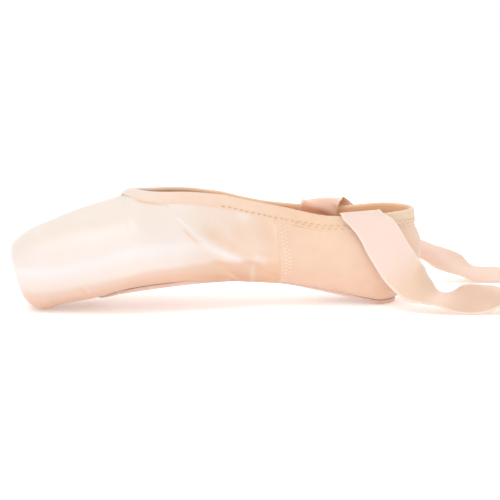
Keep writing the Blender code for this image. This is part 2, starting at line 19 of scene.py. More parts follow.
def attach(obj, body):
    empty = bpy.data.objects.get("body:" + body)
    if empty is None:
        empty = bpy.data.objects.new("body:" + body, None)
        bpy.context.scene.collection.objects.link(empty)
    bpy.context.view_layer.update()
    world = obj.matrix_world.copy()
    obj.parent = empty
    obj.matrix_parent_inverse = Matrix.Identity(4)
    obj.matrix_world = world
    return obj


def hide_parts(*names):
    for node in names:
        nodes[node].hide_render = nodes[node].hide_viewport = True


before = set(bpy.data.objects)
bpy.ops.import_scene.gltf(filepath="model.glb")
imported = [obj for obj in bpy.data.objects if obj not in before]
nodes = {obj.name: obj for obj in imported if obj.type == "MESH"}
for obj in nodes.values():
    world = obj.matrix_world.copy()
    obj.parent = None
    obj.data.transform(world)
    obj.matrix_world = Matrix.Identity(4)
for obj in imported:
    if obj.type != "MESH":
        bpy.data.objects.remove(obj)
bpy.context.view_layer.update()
MM = 0.001
print("nodes:", ", ".join(sorted(nodes)))

# %% [markdown]
# ## Camera
#
# The photograph looks at the shoe's left side from a little above. A long lens at 1.15 m keeps the far collar
# just above the near one. A small lens shift puts the shoe where the photograph has it, so the ribbons run off
# the right edge.

# %% Camera
VIEW_TURN, VIEW_RISE, VIEW_ROLL = (math.radians(a) for a in (-4.0, 9.0, 0.50))
VIEW_DISTANCE = 1150 * MM
VIEW_SPAN = 285.75 * MM
TARGET = Vector((0, 0, 30 * MM))
toward = Vector((
    math.sin(VIEW_TURN) * math.cos(VIEW_RISE),
    -math.cos(VIEW_TURN) * math.cos(VIEW_RISE),
    math.sin(VIEW_RISE),
))
level = Vector((math.cos(VIEW_TURN), math.sin(VIEW_TURN), 0))
upward = toward.cross(level)
right = level * math.cos(VIEW_ROLL) - upward * math.sin(VIEW_ROLL)
up = level * math.sin(VIEW_ROLL) + upward * math.cos(VIEW_ROLL)
lens = bpy.data.cameras.new("camera")
lens.sensor_width = 36.0
lens.lens = lens.sensor_width * VIEW_DISTANCE / VIEW_SPAN
lens.shift_x = 18.86 * MM / VIEW_SPAN
lens.shift_y = 0.75 * MM / VIEW_SPAN
lens.clip_start = 0.05
camera = bpy.data.objects.new("camera", lens)
turned_to_shoe = Matrix((right, up, toward)).transposed().to_4x4()
camera.matrix_world = Matrix.Translation(TARGET + toward * VIEW_DISTANCE) @ turned_to_shoe
bpy.context.scene.collection.objects.link(camera)
bpy.context.scene.camera = camera
print("lens", round(lens.lens, 1), "mm")

# %% [markdown]
# ## Floor and light
#
# A pale seamless floor with a faint glow, which is painted light that lifts the shadows under the shoe, and a white
# surround, as in a shop photograph. One broad soft lamp stands above and ahead, a second fills from the camera's side,
# and a third lights the heel and the ribbons.

# %% Floor and light
scene = bpy.context.scene
scene.view_settings.view_transform = "Standard"
scene.view_settings.look = "None"


def simple_material(name, color, roughness):
    material = bpy.data.materials.new(name)
    material.use_nodes = True
    shader = material.node_tree.nodes["Principled BSDF"]
    shader.inputs["Base Color"].default_value = (*color, 1)
    shader.inputs["Roughness"].default_value = roughness
    return material


floor_mesh = bpy.data.meshes.new("floor")
reach = 3.0
floor_corners = [(-reach, -reach, 0), (reach, -reach, 0), (reach, reach, 0), (-reach, reach, 0)]
floor_mesh.from_pydata(floor_corners, [], [(0, 1, 2, 3)])
floor = bpy.data.objects.new("floor", floor_mesh)
floor.location.z = -0.1 * MM
scene.collection.objects.link(floor)
floor_white = simple_material("floor_white", (0.96, 0.96, 0.96), 0.9)
# The floor's faint glow is painted light: it lifts the shadows under the shoe and lights the shoe from below
floor_white.node_tree.nodes["Principled BSDF"].inputs["Emission Color"].default_value = (1, 1, 1, 1)
floor_white.node_tree.nodes["Principled BSDF"].inputs["Emission Strength"].default_value = 0.25
floor_mesh.materials.append(floor_white)

world = bpy.data.worlds.new("surround")
world.use_nodes = True
world.node_tree.nodes["Background"].inputs["Color"].default_value = (1.0, 1.0, 1.0, 1)
world.node_tree.nodes["Background"].inputs["Strength"].default_value = 1.0
scene.world = world


def add_lamp(name, place, aim, size, power, color=(1, 1, 1)):
    """A square soft lamp at a place, in metres, that looks at its aim."""
    light = bpy.data.lights.new(name, "AREA")
    light.size = size
    light.energy = power
    light.color = color
    lamp = bpy.data.objects.new(name, light)
    lamp.location = place
    lamp.rotation_euler = (Vector(aim) - Vector(place)).to_track_quat("-Z", "Y").to_euler()
    scene.collection.objects.link(lamp)
    return lamp


add_lamp("key", (-0.35, -0.45, 0.85), (0, 0, 0.03), 0.50, 2.2)
add_lamp("fill", (0.50, -0.90, 0.35), (0.02, 0, 0.03), 0.80, 0.4)
add_lamp("back", (0.35, 0.60, 0.60), (0.05, 0, 0.03), 0.60, 1.0)

# %% [markdown]
# ## Small tools
#
# `smooth` reads a table on a smooth curve. `make_object` turns vertices and faces into a piece.

# %% Small tools
def smooth(table, place, column=1):
    """A table's value at one place, on a smooth curve through its rows that never overshoots them."""
    places = [row[0] for row in table]
    values = [row[column] for row in table]
    if place <= places[0]:
        return values[0]
    if place >= places[-1]:
        return values[-1]
    span = max(i for i, start in enumerate(places) if start <= place)
    grades = [(b - a) / (q - p) for p, q, a, b in zip(places, places[1:], values, values[1:])]

    def slope(i):
        if i == 0:
            return grades[0]
        if i == len(grades):
            return grades[-1]
        before, after = grades[i - 1], grades[i]
        return 0.0 if before * after <= 0 else 2 * before * after / (before + after)

    wide = places[span + 1] - places[span]
    t = (place - places[span]) / wide
    return (
        (2 * t**3 - 3 * t**2 + 1) * values[span]
        + (t**3 - 2 * t**2 + t) * wide * slope(span)
        + (3 * t**2 - 2 * t**3) * values[span + 1]
        + (t**3 - t**2) * wide * slope(span + 1)
    )


def through(before, start, end, after, share):
    """A point on a smooth curve from start to end that also heeds the points before and after them."""
    return 0.5 * (
        2 * start
        + (end - before) * share
        + (2 * before - 5 * start + 4 * end - after) * share**2
        + (3 * start - before - 3 * end + after) * share**3
    )


def make_object(name, verts, faces, material=None, smooth_shading=True):
    mesh = bpy.data.meshes.new(name)
    mesh.from_pydata([tuple(v) for v in verts], [], faces)
    mesh.update()
    if smooth_shading:
        mesh.shade_smooth()
    thing = bpy.data.objects.new(name, mesh)
    scene.collection.objects.link(thing)
    if material:
        mesh.materials.append(material)
    return thing


def settle(thing):
    """Applies a piece's modifiers, so it is a plain mesh."""
    bpy.context.view_layer.update()
    mesh = bpy.data.meshes.new_from_object(thing.evaluated_get(bpy.context.evaluated_depsgraph_get()))
    thing.modifiers.clear()
    thing.data = mesh
    return thing


def clean_copy(name, node):
    """A welded copy of a CAD solid, with quads instead of triangles and sharp edges creased."""
    build = bmesh.new()
    build.from_mesh(nodes[node].data)
    bmesh.ops.remove_doubles(build, verts=build.verts, dist=1e-6)
    bmesh.ops.join_triangles(
        build, faces=build.faces, angle_face_threshold=math.radians(30), angle_shape_threshold=math.radians(60)
    )
    crease = build.edges.layers.float.get("crease_edge") or build.edges.layers.float.new("crease_edge")
    for edge in build.edges:
        if len(edge.link_faces) == 2 and edge.calc_face_angle() > math.radians(50):
            edge[crease] = 1.0
    mesh = bpy.data.meshes.new(name)
    build.to_mesh(mesh)
    build.free()
    mesh.materials.clear()
    mesh.shade_smooth()
    thing = bpy.data.objects.new(name, mesh)
    scene.collection.objects.link(thing)
    return thing


def subdivided(thing, levels):
    modifier = thing.modifiers.new("subdivide", "SUBSURF")
    modifier.levels = modifier.render_levels = levels
    return settle(thing)


def points_of(thing):
    flat = np.zeros(len(thing.data.vertices) * 3)
    thing.data.vertices.foreach_get("co", flat)
    return flat.reshape(-1, 3)


def put_points(thing, points):
    thing.data.vertices.foreach_set("co", np.asarray(points).ravel())
    thing.data.update()


def normals_of(thing):
    flat = np.zeros(len(thing.data.vertices) * 3)
    thing.data.vertex_normals.foreach_get("vector", flat)
    return flat.reshape(-1, 3)

# %% [markdown]
# ## Materials
#
# The box satin's color holds painted light: it is palest in a painted highlight band along the side, and turns to
# peach underneath as painted shade. Three values that are stored on its points color it: "rise" is the height above
# the rim, "shine" marks painted highlights on the raised folds, and a third marks painted shade in the hollows. The
# rear quarters, the tape and the lining are plain cotton weaves, with painted shade on faces that turn down. All of
# them read object coordinates, so their grain has a real size. The ribbons read UV coordinates, because their sheen
# runs along them; their color along the length is painted light and shade.

# %% Materials
RIBBON_WIDTH = 22.5


def new_material(name):
    material = bpy.data.materials.new(name)
    material.use_nodes = True
    tree = material.node_tree
    return material, tree, tree.nodes["Principled BSDF"]


def add_node(tree, kind, **inputs):
    node = tree.nodes.new(kind)
    for key, value in inputs.items():
        node.inputs[key.replace("_", " ")].default_value = value
    return node


def ramp(tree, source, stops):
    """A color ramp on a value: stops are (place, linear color)."""
    node = tree.nodes.new("ShaderNodeValToRGB")
    node.color_ramp.interpolation = "EASE"
    while len(node.color_ramp.elements) < len(stops):
        node.color_ramp.elements.new(0.5)
    for element, (place, color) in zip(node.color_ramp.elements, stops):
        element.position = place
        element.color = (*color, 1)
    tree.links.new(source, node.inputs["Fac"])
    return node.outputs["Color"]


def mixed(tree, factor, one, other, blend="MIX"):
    node = tree.nodes.new("ShaderNodeMix")
    node.data_type = "RGBA"
    node.blend_type = blend
    for socket, value in ((0, factor), (6, one), (7, other)):
        if isinstance(value, (int, float)):
            node.inputs[socket].default_value = value
        elif isinstance(value, tuple):
            node.inputs[socket].default_value = (*value, 1)
        else:
            tree.links.new(value, node.inputs[socket])
    return node.outputs[2]


def place_of(tree, scale=(1, 1, 1), uv=False):
    """Object (or UV) coordinates, stretched."""
    coords = tree.nodes.new("ShaderNodeTexCoord")
    mapping = tree.nodes.new("ShaderNodeMapping")
    mapping.inputs["Scale"].default_value = scale
    tree.links.new(coords.outputs["UV" if uv else "Object"], mapping.inputs["Vector"])
    return mapping.outputs["Vector"]


def noise_of(tree, place, scale, detail=2.0, roughness=0.5):
    node = add_node(tree, "ShaderNodeTexNoise", Scale=scale, Detail=detail, Roughness=roughness)
    tree.links.new(place, node.inputs["Vector"])
    return node.outputs["Fac"]


def add_bump(tree, shader, height, strength, distance, before=None):
    node = add_node(tree, "ShaderNodeBump", Strength=strength, Distance=distance)
    tree.links.new(height, node.inputs["Height"])
    if before:
        tree.links.new(before, node.inputs["Normal"])
    tree.links.new(node.outputs["Normal"], shader.inputs["Normal"])
    return node.outputs["Normal"]


def facing(tree):
    """0 on what faces straight down, 0.5 on what stands upright, 1 on what faces up."""
    geometry = tree.nodes.new("ShaderNodeNewGeometry")
    split = tree.nodes.new("ShaderNodeSeparateXYZ")
    tree.links.new(geometry.outputs["Normal"], split.inputs[0])
    scaled = tree.nodes.new("ShaderNodeMath")
    scaled.operation = "MULTIPLY_ADD"
    scaled.inputs[1].default_value = 0.5
    scaled.inputs[2].default_value = 0.5
    tree.links.new(split.outputs["Z"], scaled.inputs[0])
    return scaled.outputs[0]


def painted(tree, name):
    """A value that is stored on the mesh's points."""
    reader = tree.nodes.new("ShaderNodeAttribute")
    reader.attribute_name = name
    return reader.outputs["Fac"]


def satin(name, body, cloud_place, streaks):
    """Satin: long smooth floats that leave fine streaks, and a soft white sheen."""
    material, tree, shader = new_material(name)
    color = body(tree)
    cloud = noise_of(tree, cloud_place(tree), 30, 3)
    tint = ramp(tree, cloud, [(0.30, (0.965, 0.955, 0.945)), (0.70, (1.0, 1.0, 1.0))])
    tree.links.new(mixed(tree, 1.0, color, tint, "MULTIPLY"), shader.inputs["Base Color"])
    float_lines = noise_of(tree, streaks(tree), 1.0, 3)
    add_bump(tree, shader, float_lines, 0.20, 0.00006)
    rough = add_node(tree, "ShaderNodeMapRange")
    for key, value in (("To Min", 0.36), ("To Max", 0.50)):
        rough.inputs[key].default_value = value
    tree.links.new(float_lines, rough.inputs["Value"])
    tree.links.new(rough.outputs["Result"], shader.inputs["Roughness"])
    shader.inputs["Specular IOR Level"].default_value = 0.8
    shader.inputs["Sheen Weight"].default_value = 0.30
    shader.inputs["Sheen Roughness"].default_value = 0.35
    shader.inputs["Sheen Tint"].default_value = (1.0, 0.97, 0.96, 1)
    return material


def upper_body(tree):
    """Painted light: a pale painted highlight band along the side, where the taut satin shines, painted shade deeper
    towards the sole, and a deeper vamp behind the box, whose paleness is painted sheen.
    """
    tilt = tree.nodes.new("ShaderNodeMath")
    tilt.operation = "MULTIPLY"
    tilt.inputs[1].default_value = 0.45
    tree.links.new(facing(tree), tilt.inputs[0])
    level = tree.nodes.new("ShaderNodeMath")
    level.operation = "MULTIPLY_ADD"
    level.inputs[1].default_value = 0.55
    tree.links.new(painted(tree, "rise"), level.inputs[0])
    tree.links.new(tilt.outputs[0], level.inputs[2])
    box = ramp(tree, level.outputs[0], [
        (0.10, (0.70, 0.44, 0.31)), (0.28, (0.71, 0.51, 0.41)), (0.48, (0.75, 0.64, 0.58)), (0.72, (0.76, 0.70, 0.68)),
        (0.82, (0.75, 0.66, 0.62)), (1.00, (0.75, 0.65, 0.57)),
    ])
    vamp = ramp(tree, level.outputs[0], [
        (0.10, (0.63, 0.35, 0.22)), (0.30, (0.69, 0.45, 0.32)), (0.50, (0.75, 0.58, 0.47)), (0.72, (0.76, 0.62, 0.53)),
        (1.00, (0.76, 0.60, 0.49)),
    ])
    split = tree.nodes.new("ShaderNodeSeparateXYZ")
    tree.links.new(place_of(tree), split.inputs[0])
    behind = add_node(tree, "ShaderNodeMapRange")
    behind.interpolation_type = "SMOOTHSTEP"
    for key, value in (("From Min", -0.030), ("From Max", 0.012)):
        behind.inputs[key].default_value = value
    tree.links.new(split.outputs["X"], behind.inputs["Value"])
    body = mixed(tree, behind.outputs["Result"], box, vamp)
    # Painted shade in the hollows, then painted highlights along the raised folds
    body = mixed(tree, painted(tree, "painted_shade"), body, (0.73, 0.46, 0.30))
    return mixed(tree, painted(tree, "shine"), body, (0.80, 0.73, 0.71))


def ribbon_body(stops, shade_color, edge, shade):
    """Ribbon color along its length, which is painted light and shade, with painted shade on faces that turn down and
    paler woven edges: stops are (distance in metres, color).
    """
    def body(tree):
        split = tree.nodes.new("ShaderNodeSeparateXYZ")
        tree.links.new(place_of(tree, uv=True), split.inputs[0])
        along = tree.nodes.new("ShaderNodeMath")
        along.operation = "MULTIPLY"
        along.inputs[1].default_value = 4.0
        tree.links.new(split.outputs["Y"], along.inputs[0])
        color = ramp(tree, along.outputs[0], [(4.0 * place, tone) for place, tone in stops])
        under = ramp(tree, facing(tree), [(shade[0], (1, 1, 1)), (shade[1], (0, 0, 0))])
        color = mixed(tree, under, color, shade_color)
        edges = ramp(tree, across_of(tree, split.outputs["X"]), [(0.84, (0, 0, 0)), (0.95, (1, 1, 1))])
        return mixed(tree, edges, color, edge)
    return body


def across_of(tree, across):
    """0 along the middle of the ribbon, 1 at its edges."""
    centred = tree.nodes.new("ShaderNodeMath")
    centred.operation = "SUBTRACT"
    centred.inputs[1].default_value = RIBBON_WIDTH * MM / 2
    tree.links.new(across, centred.inputs[0])
    scaled = tree.nodes.new("ShaderNodeMath")
    scaled.operation = "MULTIPLY"
    scaled.inputs[1].default_value = 2 / (RIBBON_WIDTH * MM)
    tree.links.new(centred.outputs[0], scaled.inputs[0])
    size = tree.nodes.new("ShaderNodeMath")
    size.operation = "ABSOLUTE"
    tree.links.new(scaled.outputs[0], size.inputs[0])
    return size.outputs[0]


def ribbon_satin(name, stops, shade_color, edge, shade=(0.20, 0.52)):
    return satin(
        name,
        ribbon_body(stops, shade_color, edge, shade),
        lambda tree: place_of(tree, (1, 1, 1), uv=True),
        lambda tree: place_of(tree, (9000, 60, 1), uv=True),
    )


def along_shoe(tree, stops):
    """A color that changes along the shoe: pairs of object X in millimetres and color."""
    split = tree.nodes.new("ShaderNodeSeparateXYZ")
    tree.links.new(place_of(tree), split.inputs[0])
    first, last = stops[0][0], stops[-1][0]
    share = tree.nodes.new("ShaderNodeMapRange")
    share.inputs["From Min"].default_value = first * MM
    share.inputs["From Max"].default_value = last * MM
    tree.links.new(split.outputs["X"], share.inputs["Value"])
    return ramp(tree, share.outputs["Result"], [((x - first) / (last - first), color) for x, color in stops])


def cotton(name, color, deep, thread=2600, roughness=0.75, along=None):
    """Plain cotton weave, matte, with slightly uneven dye, and painted shade on faces that turn down."""
    material, tree, shader = new_material(name)
    place = place_of(tree)
    body = ramp(tree, facing(tree), [(0.10, deep), (0.55, color)])
    if along:
        body = mixed(tree, 0.75, body, along_shoe(tree, along))
    cloud = noise_of(tree, place, 55, 3)
    tint = ramp(tree, cloud, [(0.30, (0.95, 0.94, 0.93)), (0.70, (1.0, 1.0, 1.0))])
    tree.links.new(mixed(tree, 1.0, body, tint, "MULTIPLY"), shader.inputs["Base Color"])
    warp = tree.nodes.new("ShaderNodeTexWave")
    warp.bands_direction = "X"
    warp.inputs["Scale"].default_value = thread / 20
    weft = tree.nodes.new("ShaderNodeTexWave")
    weft.bands_direction = "Z"
    weft.inputs["Scale"].default_value = thread / 20
    for wave in (warp, weft):
        wave.inputs["Distortion"].default_value = 0.8
        wave.inputs["Detail"].default_value = 1.0
        tree.links.new(place, wave.inputs["Vector"])
    both = tree.nodes.new("ShaderNodeMath")
    both.operation = "ADD"
    tree.links.new(warp.outputs["Fac"], both.inputs[0])
    tree.links.new(weft.outputs["Fac"], both.inputs[1])
    add_bump(tree, shader, both.outputs[0], 0.25, 0.00008)
    shader.inputs["Roughness"].default_value = roughness
    shader.inputs["Specular IOR Level"].default_value = 0.25
    shader.inputs["Sheen Weight"].default_value = 0.25
    return material


def leather(name, color, edge):
    """Thin suede-like sole leather."""
    material, tree, shader = new_material(name)
    place = place_of(tree)
    grain = noise_of(tree, place, 900, 4, 0.6)
    cloud = noise_of(tree, place, 40, 4, 0.6)
    body = ramp(tree, cloud, [(0.30, edge), (0.70, color)])
    tree.links.new(body, shader.inputs["Base Color"])
    add_bump(tree, shader, grain, 0.35, 0.00015)
    shader.inputs["Roughness"].default_value = 0.70
    shader.inputs["Specular IOR Level"].default_value = 0.3
    return material


upper_satin = satin(
    "box_satin", upper_body, lambda tree: place_of(tree), lambda tree: place_of(tree, (60, 900, 900))
)
# Each ribbon's color along its length is painted light and shade: deeper where it runs into the shoe or lies in shade,
# and on the back a bright orange crest that is a painted glow
near_satin = ribbon_satin("near_ribbon_satin", (
    (0.015, (0.76, 0.58, 0.50)), (0.050, (0.77, 0.59, 0.51)), (0.072, (0.75, 0.53, 0.39)), (0.090, (0.74, 0.50, 0.37)),
    (0.105, (0.68, 0.46, 0.34)), (0.160, (0.70, 0.47, 0.35)),
), (0.70, 0.42, 0.28), (0.82, 0.68, 0.58))
far_satin = ribbon_satin("far_ribbon_satin", (
    (0.010, (0.90, 0.44, 0.26)), (0.015, (0.84, 0.55, 0.42)), (0.060, (0.80, 0.57, 0.45)), (0.110, (0.76, 0.53, 0.42)),
    (0.160, (0.73, 0.51, 0.40)),
), (0.78, 0.47, 0.30), (0.86, 0.62, 0.48))
ribbon_back = ribbon_satin("ribbon_back", (
    (0.035, (0.98, 0.59, 0.34)), (0.060, (0.76, 0.51, 0.39)), (0.200, (0.76, 0.54, 0.43)),
), (0.84, 0.49, 0.30), (0.84, 0.61, 0.47), shade=(0.45, 0.75))
quarter_cloth = cotton("quarter_cotton", (0.76, 0.54, 0.41), (0.77, 0.53, 0.40))
TAPE_TONES = (
    (-75, (0.76, 0.68, 0.63)), (-45, (0.77, 0.65, 0.58)), (-20, (0.77, 0.58, 0.47)), (20, (0.77, 0.57, 0.44)),
    (50, (0.75, 0.52, 0.35)), (76, (0.75, 0.55, 0.38)), (95, (0.73, 0.58, 0.42)),
)
tape_cloth = cotton("tape_cotton", (0.78, 0.57, 0.44), (0.74, 0.50, 0.36), along=TAPE_TONES)
# The tape's inner face and the lining are a deep orange: painted shade of the inside of the shoe over their own beige
tape_inside = cotton("tape_inside", (0.88, 0.56, 0.34), (0.82, 0.48, 0.27))
lining_cloth = cotton("lining_canvas", (0.86, 0.54, 0.32), (0.80, 0.46, 0.25), roughness=0.9)
thread_pale = cotton("thread_pale", (0.92, 0.80, 0.69), (0.86, 0.72, 0.60), thread=6000)
thread_tan = cotton("thread_tan", (0.68, 0.41, 0.25), (0.62, 0.36, 0.21), thread=6000)
sole_leather = leather("sole_leather", (0.80, 0.60, 0.52), (0.72, 0.50, 0.42))
insole_board = leather("insole_board", (0.80, 0.62, 0.43), (0.72, 0.53, 0.35))

# %% [markdown]
# ## Collar line
#
# The tape and its stitches follow the collar edge. These tables and functions are the ones that shape the
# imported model, so the detailed tape lies where the solid one does. Places along the shoe are shares of its
# length from the toe.

# %% Collar line
LENGTH = 235 * MM
INSTEP_HEIGHT = 66.0 * MM
HEEL_HEIGHT = 54.1 * MM
COLLAR_WIDTH = 47 * MM
BINDING_WIDTH = 8.0 * MM
THROAT_ALONG = 0.306
THROAT_FULL_ALONG = 0.400
HEEL_ALONG = 0.870
COLLAR_BACK_ALONG = 0.979

COLLAR_HEIGHT = (
    (0.306, 1.010 * INSTEP_HEIGHT),
    (0.345, 1.002 * INSTEP_HEIGHT),
    (0.394, 1.004 * INSTEP_HEIGHT),
    (0.435, 0.999 * INSTEP_HEIGHT),
    (0.474, 0.984 * INSTEP_HEIGHT),
    (0.513, 0.965 * INSTEP_HEIGHT),
    (0.567, 0.918 * INSTEP_HEIGHT),
    (0.606, 0.888 * INSTEP_HEIGHT),
    (0.659, 1.041 * HEEL_HEIGHT),
    (0.698, 1.010 * HEEL_HEIGHT),
    (0.760, 0.966 * HEEL_HEIGHT),
    (0.793, 0.962 * HEEL_HEIGHT),
    (0.850, 0.970 * HEEL_HEIGHT),
    (0.925, 0.994 * HEEL_HEIGHT),
    (1.000, 1.000 * HEEL_HEIGHT),
)
COLLAR_HALF = (
    (0.400, 0.225 * COLLAR_WIDTH),
    (0.435, 0.222 * COLLAR_WIDTH),
    (0.474, 0.202 * COLLAR_WIDTH),
    (0.513, 0.178 * COLLAR_WIDTH),
    (0.567, 0.142 * COLLAR_WIDTH),
    (0.606, 0.146 * COLLAR_WIDTH),
    (0.659, 0.226 * COLLAR_WIDTH),
    (0.698, 0.345 * COLLAR_WIDTH),
    (0.760, 0.440 * COLLAR_WIDTH),
    (0.870, 0.500 * COLLAR_WIDTH),
)
LEAN = (
    (0.306, 77.0),
    (0.33, 65.0),
    (0.36, 55.0),
    (0.40, 46.0),
    (0.45, 34.0),
    (0.50, 25.0),
    (0.66, 20.0),
    (0.75, 15.0),
    (0.87, 10.0),
    (0.97, 5.0),
)


def collar_point(share):
    """The collar edge on one side: share 0 is the throat's front, 1 its full width, 2 the heel's side, 3 its back."""
    if share <= 1:
        turn = math.radians(90 * share)
        along = THROAT_ALONG + (THROAT_FULL_ALONG - THROAT_ALONG) * (1 - math.cos(turn))
        half = smooth(COLLAR_HALF, along) * math.sin(turn)
    elif share <= 2:
        along = THROAT_FULL_ALONG + (HEEL_ALONG - THROAT_FULL_ALONG) * (share - 1)
        half = smooth(COLLAR_HALF, along)
    else:
        turn = math.radians(90 * (share - 2))
        along = HEEL_ALONG + (COLLAR_BACK_ALONG - HEEL_ALONG) * math.sin(turn)
        half = smooth(COLLAR_HALF, HEEL_ALONG) * math.cos(turn)
    return Vector(((along - 0.5) * LENGTH, half, smooth(COLLAR_HEIGHT, along)))


def collar_frame(share):
    """Collar edge, direction down the wall, and direction out of it."""
    here = collar_point(share)
    if share <= 0:
        plan = Vector((-1, 0, 0))
    elif share >= 3:
        plan = Vector((1, 0, 0))
    else:
        run = collar_point(min(3, share + 0.01)) - collar_point(max(0, share - 0.01))
        plan = Vector((-run.y, run.x, 0)).normalized()
    lean = math.radians(smooth(LEAN, here.x / LENGTH + 0.5))
    down = plan * math.sin(lean) - Vector((0, 0, math.cos(lean)))
    out = plan * math.cos(lean) + Vector((0, 0, math.sin(lean)))
    return here, down, out


def collar_loop(step):
    """Frames all the way round the collar, about a step apart: left side to the heel, then the right side back."""
    shares = [0.0]
    while shares[-1] < 3:
        here = collar_point(shares[-1])
        ahead = (collar_point(min(3, shares[-1] + 0.002)) - here).length / 0.002
        shares.append(min(3.0, shares[-1] + step / max(ahead, 0.01)))
    frames = []
    for share in shares:
        here, down, out = collar_frame(share)
        flip = Matrix.Diagonal((1, -1, 1))
        frames.append((flip @ here, flip @ down, flip @ out))
    for share in reversed(shares[1:-1]):
        frames.append(collar_frame(share))
    return frames


loop = collar_loop(1.2 * MM)
around = [0.0]
for one, other in zip(loop, loop[1:]):
    around.append(around[-1] + (other[0] - one[0]).length)
print("collar:", round(around[-1] / MM), "mm round,", len(loop), "frames")

# %% [markdown]
# ## Creases
#
# The folds that the photograph shows are listed one by one: each is a line in side view, in millimetres, with a
# height and a width. A positive height is a ridge and a negative one a trough. The long fold is a step: cloth
# on its toe side laps over the cloth behind it.

# %% Creases
FOLD = ((-28.4, 57.9), (-20.6, 51.0), (-13.5, 43.6), (-8.5, 38.4), (-2.4, 34.9), (3.8, 31.9))
CREASES = (
    (0.50, 1.5, ((-15.7, 39.1), (-8.5, 39.0), (-2.9, 36.0), (5.4, 31.3), (9.9, 29.5))),
    (-0.60, 2.0, ((-5.8, 28.2), (-2.4, 27.5), (4.3, 23.4), (12.6, 18.1))),
    (-0.70, 2.2, ((11.2, 27.5), (17.9, 25.1), (23.5, 22.1), (33.1, 18.8))),
    (0.40, 1.5, ((18.5, 26.2), (17.9, 17.7))),
    (-0.60, 3.0, ((-8.8, 48.3), (-2.2, 42.5), (2.8, 37.3))),
    (-0.50, 2.5, ((-22.7, 18.3), (-11.5, 20.3), (-0.2, 21.2))),
    (-0.35, 0.8, ((-78.0, 15.6), (-76.4, 13.4), (-74.8, 9.9))),
    (0.30, 0.9, ((-75.8, 16.0), (-74.2, 13.6), (-72.6, 10.2))),
    (0.12, 1.6, ((-104.2, 46.9), (-100.3, 44.0))),
    (0.12, 1.6, ((-95.1, 51.3), (-90.7, 48.9))),
)
FOLD_HEIGHT, FOLD_EDGE, FOLD_REACH = 0.50, 0.8, 6.0

# Painted highlights where the satin shines along a raised fold, and painted shade in a hollow or ahead of a seam:
# strength, width, line
SHINE = (
    (0.95, 0.9, ((-26.3, 54.6), (-18.7, 48.9), (-13.2, 43.5), (-8.4, 39.4), (-2.9, 35.7))),
    (0.85, 2.2, ((-14.0, 41.4), (-8.4, 38.6), (-2.9, 35.2), (4.0, 31.6), (15.0, 27.4))),
    (0.40, 3.0, ((10.0, 53.4), (17.0, 49.4))),
    (0.35, 2.2, ((18.0, 30.4), (27.0, 26.6))),
    (0.25, 1.6, ((19.0, 26.2), (18.2, 18.0))),
    (0.35, 1.6, ((-104.2, 46.9), (-100.3, 44.0))),
)
PAINTED_SHADE = (
    (0.60, 0.8, ((-21.6, 47.6), (-15.0, 41.4), (-11.2, 37.8))),
    (0.52, 3.6, ((-10.6, 47.6), (-2.2, 42.9), (4.7, 37.8), (14.0, 33.0))),
    (0.32, 8.0, ((4.0, 44.0), (16.0, 38.0), (30.0, 33.0))),
    (0.95, 1.0, ((-4.6, 28.6), (4.7, 22.9), (12.9, 18.2))),
    (0.95, 1.3, ((19.6, 24.4), (28.1, 20.6), (34.3, 18.8))),
    (0.55, 2.6, ((30.0, 46.0), (32.0, 30.0), (32.4, 16.0))),
    (0.95, 0.8, ((32.0, 47.0), (33.3, 34.0), (33.5, 15.0))),
    (0.50, 3.0, ((-45.0, 18.6), (-25.0, 20.6), (-4.0, 20.6))),
    (0.60, 0.7, ((-77.4, 15.6), (-75.8, 13.0), (-74.4, 9.9))),
)

# Height of the upper's lower rim along the shoe, in millimetres
RIM_LINE = (
    (-118, 0.0), (-92, 0.5), (-68, 6.4), (-55, 11.5), (-36, 15.2), (-12, 17.0), (3, 17.3), (25, 15.8), (37, 14.6),
    (54, 11.3), (65, 8.8), (74, 6.7), (80, 5.0), (86, 3.4), (93, 2.3),
)

# How far the cloth sags past the edge of the sole
SAG = (
    (-60, 0.0), (-30, 0.5), (-14, 1.4), (-2, 2.9), (10, 3.4), (30, 3.4), (34, 2.6), (36, 1.9), (60, 1.6), (80, 1.0),
    (92, 0.4), (100, 0.0),
)


def rounded(line, steps=5):
    """A given line with smooth bends."""
    ends = [Vector((*p, 0)) for p in line]
    points = []
    for i in range(len(ends) - 1):
        near = [ends[j] for j in (max(i - 1, 0), i, i + 1, min(i + 2, len(ends) - 1))]
        points += [through(*near, k / steps) for k in range(steps)]
    return [(p.x, p.y) for p in points + ends[-1:]]


def ease(share):
    share = np.clip(share, 0, 1)
    return share * share * (3 - 2 * share)


def from_line(line, x, z):
    """Signed distance from a line, and the share of the way along it, of points in side view."""
    line = rounded(line)
    sizes = [math.dist(a, b) for a, b in zip(line, line[1:])]
    nearest, share, done = np.full(x.shape, 1e9), np.zeros(x.shape), 0.0
    for (ax, az), (bx, bz), size in zip(line, line[1:], sizes):
        t = np.clip(((x - ax) * (bx - ax) + (z - az) * (bz - az)) / size**2, 0, 1)
        dx, dz = x - ax - t * (bx - ax), z - az - t * (bz - az)
        distance = np.hypot(dx, dz)
        closer = distance < np.abs(nearest)
        nearest = np.where(closer, distance * np.where((bx - ax) * dz > (bz - az) * dx, 1.0, -1.0), nearest)
        share = np.where(closer, (done + t * size) / sum(sizes), share)
        done += size
    return nearest, share


def crease_height(x, z):
    """Height of all creases at points in side view, in millimetres."""
    distance, share = from_line(FOLD, x, z)
    step = -FOLD_HEIGHT * np.tanh(distance / FOLD_EDGE) * np.exp(-((distance / FOLD_REACH) ** 2))
    height = step * ease(8 * (1 - share))
    for size, width, line in CREASES:
        distance, share = from_line(line, x, z)
        ends = ease(6 * share + 0.3) * ease(6 * (1 - share) + 0.3)
        height += size * np.exp(-((distance / width) ** 2)) * ends
    return height


